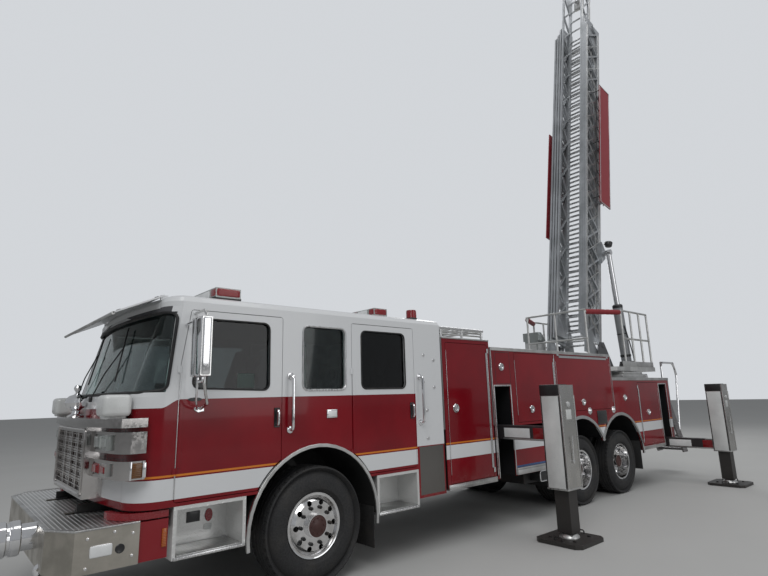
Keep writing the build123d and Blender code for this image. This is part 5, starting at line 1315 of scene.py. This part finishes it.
def top_edge(rear, front, z):
    """The rolled edge along the top of a body, with its lower lip."""
    return [
        block((rear - 0.002, 1.17, z - 0.008), (front + 0.002, 1.228, z + 0.012), 0.005),
        block((rear - 0.002, FOOT, z - 0.035), (front + 0.002, 1.226, z - 0.004), 0.003),
    ]


def rack():
    """Two rails on each side of the pump module's roof and the bars across them."""
    made = [drum((0.84, y, z), (1.7, y, z), 0.012, 0.002, 14) for y in (-1.15, 1.15) for z in (2.53, 2.565)]
    for x in (0.86, 1.06, 1.27, 1.48, 1.68):
        made.append(drum((x, -1.15, 2.6), (x, 1.15, 2.6), 0.013, 0.002, 14))
    return made


def hose_stacks():
    """Four rows of folded hose, three layers deep."""
    made = []
    for row in range(4):
        y = -0.36 + row * 0.24
        for layer in range(3):
            z = 1.9 + layer * 0.13
            made.append(block((-2.18, y - 0.112, z), (0.18, y + 0.112, z + 0.125), 0.04, 3))
    return made


def body_fittings():
    """Trims, rails, ports, flaps and bolts on the body's sides, and what lies on top."""
    door_trims()
    for jack_row in JACKS:
        side_rails(*jack_row)
    both_sides("body_top_edge", top_edge(-2.67, 0.77, 2.38), aluminium, "chassis")
    tail_edge = [
        block((-5.152, 1.17, 1.962), (-2.672, 1.228, 1.982), 0.005),
        block((-5.152, FOOT, 1.93), (-2.672, 1.226, 1.966), 0.003),
    ]
    both_sides("tail_top_edge", tail_edge, aluminium, "chassis")
    pump_edge = block((0.798, 1.17, 2.462), (1.742, 1.228, 2.482), 0.005)
    both_sides("pump_top_edge", pump_edge, aluminium, "chassis")
    both_sides("wheel_ports", [port(-1.79, 1.43), port(-2.61, 1.42)], chrome, "chassis")
    lines = [
        block((-0.83, FOOT, 1.36), (-0.818, 1.225, 2.33), 0.002),
        block((0.762, FOOT, 0.7), (0.774, 1.226, 2.37), 0.002),
        block((-2.676, FOOT, 1.42), (-2.664, 1.226, 2.37), 0.002),
    ]
    both_sides("rear_trim_line", lines, bright, "chassis")
    breather = block((-2.33, 1.205, 1.2), (-2.02, 1.238, 1.425), 0.03, 4)
    both_sides("breather_box", breather, black_trim, "chassis")
    slats = [1.235 + number * 0.032 for number in range(5)]
    grille = [block((-2.3, 1.236, z), (-2.05, 1.242, z + 0.015), 0.003) for z in slats]
    both_sides("breather_grille", grille, black_trim, "chassis")
    both_sides("body_step", block((-0.5, 0.94, 0.5), (-0.2, 1.215, 0.65), 0.02, 3), black_trim, "chassis")
    mouth = ((-0.5, 0.505), (-0.2, 0.505), (-0.2, 0.645), (-0.5, 0.645))
    step_frame = tube([(x, 1.216, z) for x, z in mouth], 0.009, 0.03, True)
    both_sides("body_step_frame", step_frame, chrome, "chassis")
    for name, x, low in (("rear_flap", -3.572, 0.32), ("middle_flap", -0.672, 0.36)):
        both_sides(name, block((x, 0.58, low), (x + 0.01, 1.19, 0.9), 0.003), flap_rubber, "chassis")
    bar = drum((-3.567, 0.56, 0.895), (-3.567, 1.2, 0.895), 0.014)
    both_sides("flap_bar", bar, chassis_black, "chassis")
    spots = ((2.085, 2.24), (1.912, 2.182), (2.1, 1.915), (1.915, 1.855), (2.053, 1.585), (2.056, 1.263))
    bolts = [drum((x, 1.219, z), (x, 1.23, z), 0.019, 0.004, 14) for x, z in spots]
    both_sides("rear_panel_bolts", bolts, bright, "cab")
    both_sides("pump_sill", block((0.802, 1.17, 0.628), (1.738, 1.238, 0.692), 0.006), tread, "chassis")
    both_sides("tail_latch", latch(-3.1, 1.62), chrome, "chassis")
    fit("pump_rack_bars", rack(), aluminium, "chassis")
    cover = block((-2.26, -0.495, 2.345), (0.26, 0.495, 2.372), 0.01)
    fit("hose_bed_cover", cover, flap_rubber, "chassis")
    fit("hose_stacks", hose_stacks(), canvas, "chassis")


# Jacks

def jack(place, side, sign, lane, reach, high, beam_low):
    """The fittings of one outrigger, on its cover, its beam and its pad."""
    inner, outer, low = reach - 0.14, reach + 0.14, 0.6
    front, beam_front, cap_low = lane + 0.158, lane + 0.078, high - 0.135
    cap_end = (lane + 0.168, outer - 0.012, high + 0.008)

    def add(name, parts, finish, body="outrigger"):
        on_side(sign, f"{place}_{name}_{side}", parts, finish, f"{place}_{body}_{side}")

    add("jack_cap", block((lane - 0.05, inner - 0.004, high - 0.13), cap_end, 0.012, 3), black_trim)
    strip = block((front, inner + 0.018, low + 0.01), (lane + 0.166, outer - 0.028, cap_low), 0.003)
    add("jack_strip", strip, white_paint)
    edges = [
        block((lane - 0.166, outer - 0.002, low + 0.02), (lane - 0.146, outer + 0.006, high - 0.13), 0.003),
        block((lane + 0.146, outer - 0.002, low + 0.02), (lane + 0.166, outer + 0.006, high - 0.13), 0.003),
        block((lane - 0.166, inner - 0.002, low - 0.003), (lane + 0.166, outer + 0.005, low + 0.02)),
    ]
    add("jack_edges", edges, stainless)
    lines = (inner + 0.004, inner + 0.254)
    seams = [block((front, y, low + 0.02), (lane + 0.165, y + 0.012, cap_low), 0.002) for y in lines]
    add("jack_seams", seams, black_trim)
    stay = block((lane - 0.02, outer - 0.002, low + 0.3), (lane + 0.02, outer + 0.02, low + 0.34))
    handle = tube([(lane, outer + 0.012, low + 0.34), (lane, outer + 0.02, low + 0.62)], 0.007, 0.01)
    add("jack_handle", [stay, handle], bright)
    tag = block((lane - 0.06, outer - 0.002, high - 0.42), (lane + 0.06, outer + 0.004, high - 0.3), 0.003)
    add("jack_plate", tag, plate_paint)
    light = [(0, 0.024), (0.02, 0.022), (0.034, 0.012), (0.038, 0.0), (0, -0.002)]
    add("jack_light", turned(light, (lane, outer, high - 0.24), (0, 1, 0), 24), white_lens)
    panel = block((beam_front, 1.26, beam_low + 0.03), (lane + 0.081, 1.66, beam_low + 0.15), 0.001)
    add("beam_plate", panel, plain_lens)
    reflector = (lane + 0.081, inner - 0.03, beam_low + 0.16)
    add("beam_reflector", block((beam_front, inner - 0.2, beam_low + 0.02), reflector, 0.001), red_lens)
    wear = (lane + 0.081, inner - 0.01, beam_low + 0.022)
    add("beam_wear_strip", block((lane - 0.081, 1.24, beam_low + 0.004), wear, 0.0005), aluminium)
    collar = [(0.083, 0.0), (0.12, 0.0), (0.118, 0.012), (0.1, 0.034), (0.088, 0.044), (0.083, 0.044)]
    add("leg_collar", turned(collar, (lane, reach, 0.046), (0, 0, 1), 32), aluminium, "leg")
    corners = [(lane + x, reach + y) for x, y in ((0.16, 0.16), (-0.16, 0.16), (0.16, -0.16), (-0.16, -0.16))]
    lugs = [block((x - 0.016, y - 0.016, 0.043), (x + 0.016, y + 0.016, 0.062), 0.005) for x, y in corners]
    bend = ((-0.05, 0.04), (-0.05, 0.085), (0.05, 0.085), (0.05, 0.04))
    grips = [tube([(lane + x, reach + y, z) for y, z in bend], 0.008, 0.02) for x in (-0.25, 0.25)]
    add("pad_lugs", lugs + grips, chassis_black, "leg")


def jacks():
    for side, sign, front_lane, rear_lane in JACKS:
        jack("front", side, sign, front_lane, 2.05, 1.84, 1.15)
        jack("rear", side, sign, rear_lane, 2.2, 1.82, 0.625)


# Stair and tail

def stair():
    nosings, grips = [], []
    for step in range(5):
        z, x = 0.46 + step * 0.29, -5.98 + step * 0.161
        nosings.append(block((x - 0.006, 0.572, z - 0.004), (x + 0.014, 1.098, z + 0.039)))
        for row in range(7):
            start = x + 0.03 + row * 0.02
            grips.append(block((start, 0.6, z + 0.034), (start + 0.008, 1.07, z + 0.039), 0.001, 1))
    fit("stair_nosings", nosings, bright, "chassis")
    fit("stair_grips", grips, stair_tread, "chassis")
    hoops = []
    for y, top in ((0.5, 2.085), (1.095, 2.31)):
        line = ((-5.21, 1.84), (-5.21, top), (-5.85, top), (-5.975, top - 0.23), (-5.74, 0.9))
        hoops.append(tube([(x, y, z) for x, z in line], 0.0215, 0.1))
    fit("stair_hoops", hoops, chrome, "chassis")


def tail():
    """Rear lamps in bright frames, reflectors, warning lights and a blank plate."""
    frame_block = block((-5.172, 1.13, 1.0), (-5.148, 1.215, 1.56), 0.01, 3)
    both_sides("tail_lamp_frame", frame_block, chrome, "chassis")
    for name, finish, heights in (
        ("red", red_lens, ((1.4, 1.545), (1.02, 1.13))),
        ("amber", amber_lens, ((1.275, 1.385),)),
        ("clear", white_lens, ((1.145, 1.26),)),
    ):
        lamps = [block((-5.19, 1.14, low), (-5.168, 1.205, high), 0.01, 3) for low, high in heights]
        both_sides(f"tail_lamp_{name}", lamps, finish, "chassis")
    fit("tail_plate", block((-5.162, -0.6, 1.1), (-5.148, -0.28, 1.27)), plate_paint, "chassis")
    line = [(-5.152, y, z) for y, z in ((-0.95, 1.0), (0.2, 1.0), (0.2, 1.75), (-0.95, 1.75))]
    fit("tail_door_frame", tube(line, 0.009, 0.04, True), bright, "chassis")
    reflector = [(0, 0.012), (0.03, 0.01), (0.036, 0.0), (0, -0.002)]
    both_sides("tail_reflector", turned(reflector, (-5.15, 1.17, 0.86), (-1, 0, 0), 24), red_lens, "chassis")
    warning = block((-5.185, 1.05, 1.72), (-5.148, 1.2, 1.86), 0.015, 3)
    both_sides("upper_warning_light", warning, red_lens, "chassis")


# Turntable and ladder

def drop_bar(sign):
    """A padded bar on its tube, pinched at even steps and gathered at both ends."""
    start, end = Vector((-3.03, sign * 0.665, 3.29)), Vector((-3.78, sign * 1.005, 3.29))
    run = end - start
    profile = [(0.0, 0.0), (0.03, 0.0), (0.046, 0.012), (0.05, 0.05)]
    count = 7
    for number in range(1, count):
        at = run.length * number / count
        profile += [(0.052, at - 0.03), (0.047, at), (0.052, at + 0.03)]
    profile += [(0.05, run.length - 0.05), (0.046, run.length - 0.012), (0.03, run.length), (0.0, run.length)]
    return turned(profile, start, run, 24)


def console():
    """The control console's sloping panel with its dials, levers and doors."""
    panel = plate(((-3.3, 3.015), (-3.178, 3.015), (-3.178, 2.86), (-3.44, 2.86)), "Y", -0.895, -0.525, 0.008)
    fit("console_panel", panel, white_paint, "turntable")
    dials = []
    slope = Vector((-0.155, 0, 0.14)).normalized()
    for y in (-0.84, -0.75, -0.66, -0.57):
        for share, radius in ((0.3, 0.022), (0.7, 0.03)):
            spot = Vector((-3.44 + 0.14 * share, y, 2.86 + 0.155 * share))
            wide = radius * 1.1
            profile = [(0, 0.01), (radius * 0.8, 0.01), (radius, 0.012)]
            profile += [(wide, 0.004), (wide, -0.004), (0, -0.004)]
            dials.append(turned(profile, spot, slope, 20))
    fit("console_dials", dials, black_trim, "turntable")
    levers = []
    for y in (-0.8, -0.71, -0.62):
        levers.append(drum((-3.42, y, 2.88), (-3.49, y, 2.98), 0.008, 0.002, 12))
        levers.append(drum((-3.487, y, 2.972), (-3.5, y, 2.992), 0.018, 0.006, 16))
    fit("console_levers", levers, chrome, "turntable")
    doors = [
        block((-3.17, -0.84, 2.26), (-3.162, -0.58, 2.8)),
        block((-3.43, -0.565, 2.26), (-3.19, -0.557, 2.8)),
    ]
    fit("console_doors", doors, aluminium, "turntable")


def deck_fittings():
    """Padded bars, kick plates, the console and the collars at the feet of the rails."""
    for side, sign in SIDES:
        piece = fit(f"drop_bar_pad_{side}", drop_bar(sign), pad_red, "turntable", 60)
    low, high = 2.2, 2.31
    kicks = [
        block((-3.01, -0.68, low), (-3.0, 0.68, high), 0.002),
        block((-4.98, 1.03, low), (-3.6, 1.038, high), 0.002),
        block((-4.98, -1.038, low), (-3.6, -1.03, high), 0.002),
    ]
    fit("kick_plates", kicks, aluminium, "turntable")
    console()
    collar = [(0.021, 0), (0.045, 0), (0.046, 0.008), (0.026, 0.014), (0.024, 0.03), (0.021, 0.03)]
    posts = [(-3.02, y) for y in (-0.66, 0, 0.66)]
    posts += [(x, sign * 1.01) for x in (-3.79, -4.19, -4.59, -4.97) for sign in (1, -1)]
    collars = [turned(collar, (x, y, 2.199), (0, 0, 1), 20) for x, y in posts]
    fit("rail_collars", collars, aluminium, "turntable")
    steps = [
        block((-4.35, 0.78, 1.978), (-3.35, 1.12, 2.05), 0.012),
        block((-4.25, 0.82, 2.05), (-3.45, 1.1, 2.1), 0.01),
    ]
    fit("deck_step_boxes", steps, aluminium, "chassis")
    hose = [(-4.62, 0.82, 2.21), (-4.62, 0.8, 2.5), (-4.55, 0.76, 2.9), (-4.5, 0.74, 3.1)]
    both_sides("cylinder_hose", tube(hose, 0.012, 0.1), black_trim, "turntable")


def ladder_spot(s, y, up):
    """A point of the ladder at rest, from its place along the ladder, across it and over it."""
    along, over = math.sin(RAISED), math.cos(RAISED)
    return Vector((HEEL[0] - s * over + up * along, y, HEEL[1] + s * along + up * over))


def ladder_bar(start, end, radius, edge=0.0, sides=8, end_radius=None):
    """A round bar between two points given in the ladder's own directions."""
    return drum(ladder_spot(*start), ladder_spot(*end), radius, edge, sides, end_radius)


def slanted(s, y, up, edge=0.002):
    """A box in the ladder's own directions."""
    made = block((s[0], y[0], up[0]), (s[1], y[1], up[1]), edge)
    origin = ladder_spot(0, 0, 0)
    one, other = ladder_spot(1, 0, 0) - origin, ladder_spot(0, 0, 1) - origin
    turn = Matrix((
        (one.x, 0, other.x, origin.x), (0, 1, 0, 0), (one.z, 0, other.z, origin.z), (0, 0, 0, 1),
    ))
    made.data.transform(turn)
    if turn.to_3x3().determinant() < 0:
        made.data.flip_normals()
    return made


SECTIONS = (
    # name, half width, start, end, top of the side, first rung, foot of the side
    ("base", 0.45, -0.25, 8.5, 0.56, 0.06, -0.07),
    ("second", 0.395, 0.06, 8.62, 0.54, 0.149, -0.025),
    ("third", 0.34, 0.12, 8.8, 0.52, 0.238, 0.02),
    ("fly", 0.285, 0.18, 10.2, 0.5, 0.327, 0.065),
)
RUNG_PITCH = 0.356


def sections():
    """Ribs along each section's sides and grips on its rungs."""
    for name, half, start, end, top, first, low in SECTIONS:
        chords = []
        for sign in (1, -1):
            y = sorted((sign * (half - 0.006), sign * (half + 0.004)))
            for up in (low + 0.016, low + 0.052, low + 0.088, top - 0.052, top - 0.018):
                chords.append(slanted((start + 0.05, end - 0.14), y, (up - 0.007, up + 0.007)))
        fit(f"{name}_chord_ribs", chords, aluminium, f"ladder_{name}")
        grips = []
        up, reach = low + 0.018, half - 0.06
        for rung in range(int((end - first - 0.06) // RUNG_PITCH) + 1):
            s = first + rung * RUNG_PITCH
            grips.append(ladder_bar((s, -reach, up), (s, reach, up), 0.0205, sides=12))
        fit(f"{name}_rung_grips", grips, bright, f"ladder_{name}")


def braces():
    """The zigzag of rods on both sides of the base section."""
    made = []
    s, reach, low, high = 0.25, 0.35, 0.045, 0.5
    while s + 2 * reach < 8.3:
        for sign in (1, -1):
            y = sign * 0.452
            made.append(ladder_bar((s, y, low), (s + reach, y, high), 0.01))
            made.append(ladder_bar((s + reach, y, high), (s + 2 * reach, y, low), 0.01))
        s += 2 * reach
    fit("base_brace_rods", made, aluminium, "ladder_base")


# Side, start, end, low and high edge of each outer panel of the base section
PANELS = ((1, 3.25, 6.5, -0.2, 0.25), (-1, 2.6, 5.5, -0.1, 0.45))


def panels():
    """Edges of the outer panels and the lattice that holds them off the base section."""
    frames, lattice = [], []
    foot, head = -0.04, 0.24
    for sign, start, end, low, high in PANELS:
        y = sorted((sign * 0.619, sign * 0.626))
        for up in ((low, low + 0.02), (high - 0.02, high)):
            frames.append(slanted((start, end), y, up))
        for s in ((start, start + 0.02), (end - 0.02, end)):
            frames.append(slanted(s, y, (low, high)))
    fit("panel_frames", frames, bright, "ladder_base")
    for sign, start, end, low, high in PANELS:
        y = sign * 0.53
        s = start + 0.1
        while s + 0.3 < end:
            lattice.append(ladder_bar((s, y, foot), (s + 0.15, y, head), 0.008))
            lattice.append(ladder_bar((s + 0.15, y, head), (s + 0.3, y, foot), 0.008))
            s += 0.3
        for up in (-0.045, 0.245):
            lattice.append(ladder_bar((start + 0.05, y, up), (end - 0.05, y, up), 0.01))
            for s in (start + 0.15, (start + end) / 2, end - 0.15):
                lattice.append(ladder_bar((s, sign * 0.445, up), (s, sign * 0.602, up), 0.009))
    fit("panel_lattice", lattice, black_trim, "ladder_base")


def ladder_lamps():
    """A work lamp on its arm at each side of the base section."""
    lamps, lenses = [], []
    for sign, s, up in ((1, 2.36, -0.26), (-1, 2.12, 0.02)):
        y = sign * 0.53
        lamps.append(ladder_bar((s, y, up), (s + 0.1, y, up), 0.07, 0.012, 24, 0.09))
        lamps.append(ladder_bar((s + 0.05, sign * 0.45, up + 0.06), (s + 0.05, y, up), 0.016, 0.003, 12))
        lenses.append(ladder_bar((s + 0.099, y, up), (s + 0.108, y, up), 0.08, 0.004, 24))
    fit("ladder_lamps", lamps, black_trim, "ladder_base")
    fit("ladder_lamp_lenses", lenses, clear_lens, "ladder_base")


def ladder_ends():
    """The bar and nozzle at the fly section's tip and the pulleys at the ends of the others."""
    tips = [
        slanted((10.14, 10.19), (-0.29, 0.29), (0.44, 0.5), 0.01),
        slanted((9.5, 9.9), (-0.12, 0.12), (0.09, 0.2), 0.02),
    ]
    fit("fly_tip_bar", tips, aluminium, "ladder_fly")
    shape = [(0, 0), (0.05, 0), (0.055, 0.02), (0.045, 0.08), (0.05, 0.2)]
    shape += [(0.04, 0.34), (0.058, 0.36), (0.06, 0.42), (0.04, 0.425), (0, 0.4)]
    direction = ladder_spot(1, 0, 0) - ladder_spot(0, 0, 0)
    nozzle = turned(shape, ladder_spot(9.66, 0, 0.26), direction, 28)
    mount = ladder_bar((9.7, 0, 0.16), (9.7, 0, 0.27), 0.05, 0.006, 24)
    fit("fly_nozzle", [nozzle, mount], chrome, "ladder_fly")
    for name, half, start, end, top, first, low in SECTIONS[:3]:
        s, up = end - 0.06, top - 0.1
        pulleys = [
            ladder_bar((s, sign * (half - 0.048), up), (s, sign * (half - 0.03), up), 0.045, 0.005, 24)
            for sign in (1, -1)
        ]
        fit(f"{name}_pulleys", pulleys, chassis_black, f"ladder_{name}")


def barrel_collars():
    """The collars along each cylinder's barrel and the gland its rod runs through."""
    made = []
    foot = Vector((-4.64, 0, 2.31))
    unit = (ladder_spot(2.1, 0, -0.03) - foot).normalized()
    gland = [(0.056, 0), (0.085, 0), (0.09, 0.004), (0.085, 0.012), (0.056, 0.014)]
    for sign in (1, -1):
        base = foot + Vector((0, sign * 0.64, 0))
        for at, radius, long in ((0.14, 0.108, 0.05), (0.62, 0.105, 0.02), (1.19, 0.1045, 0.06)):
            ring = [(0.1, 0), (radius - 0.004, 0), (radius, 0.005)]
            ring += [(radius, long - 0.005), (radius - 0.004, long), (0.1, long)]
            made.append(turned(ring, base + unit * at, unit, 32))
        made.append(turned(gland, base + unit * 1.256, unit, 32))
    fit("barrel_collars", made, black_trim, "lift_barrels")


def ladder():
    sections()
    braces()
    panels()
    ladder_lamps()
    ladder_ends()
    barrel_collars()


# Stage

def stage():
    """A pale floor, a pale sky behind the truck and soft lamps."""
    clear()
    bpy.ops.mesh.primitive_plane_add(size=160, location=(0, 0, -0.001))
    floor = bpy.context.object
    floor.name = "floor"
    made = Finish("floor_paper", (0.42, 0.42, 0.41), 0.9)
    patch = made.noise(0.6, 3.0)
    floor.data.materials.append(made.done(made.mix(patch, (0.4, 0.4, 0.39), (0.44, 0.44, 0.43))))
    scene = bpy.context.scene
    world = bpy.data.worlds.new("soft_sky")
    scene.world = world
    world.use_nodes = True
    tree = world.node_tree
    sky = tree.nodes["Background"]
    path = tree.nodes.new("ShaderNodeLightPath")
    seen = tree.nodes.new("ShaderNodeMath")
    seen.operation = "MAXIMUM"
    tree.links.new(path.outputs["Is Camera Ray"], seen.inputs[0])
    tree.links.new(path.outputs["Is Transmission Ray"], seen.inputs[1])
    strength = tree.nodes.new("ShaderNodeMapRange")
    tree.links.new(seen.outputs[0], strength.inputs[0])
    strength.inputs["To Min"].default_value = 0.36
    strength.inputs["To Max"].default_value = 0.72
    tree.links.new(strength.outputs[0], sky.inputs["Strength"])
    sky.inputs["Color"].default_value = (0.9, 0.93, 0.97, 1)
    for name, place, aim, size, power in (
        ("key_lamp", (12, 10, 14), (0, 0, 1.5), 9, 1000),
        ("sky_lamp", (-4, 3, 20), (-1, 0, 1), 14, 1200),
        ("back_lamp", (-14, -8, 10), (-2, 0, 2), 8, 500),
        ("side_lamp", (-2, 16, 5), (-1, 0, 1.5), 8, 260),
    ):
        clear()
        bpy.ops.object.light_add(type="AREA", location=place)
        lamp = bpy.context.object
        lamp.name = name
        lamp.data.size = size
        lamp.data.energy = power
        lamp.rotation_mode = "QUATERNION"
        lamp.rotation_quaternion = (Vector(aim) - Vector(place)).to_track_quat("-Z", "Y")
    scene.view_settings.view_transform = "Standard"


camera()
wheels()
cab()
bumper()
body_fittings()
jacks()
stair()
tail()
deck_fittings()
ladder()
stage()
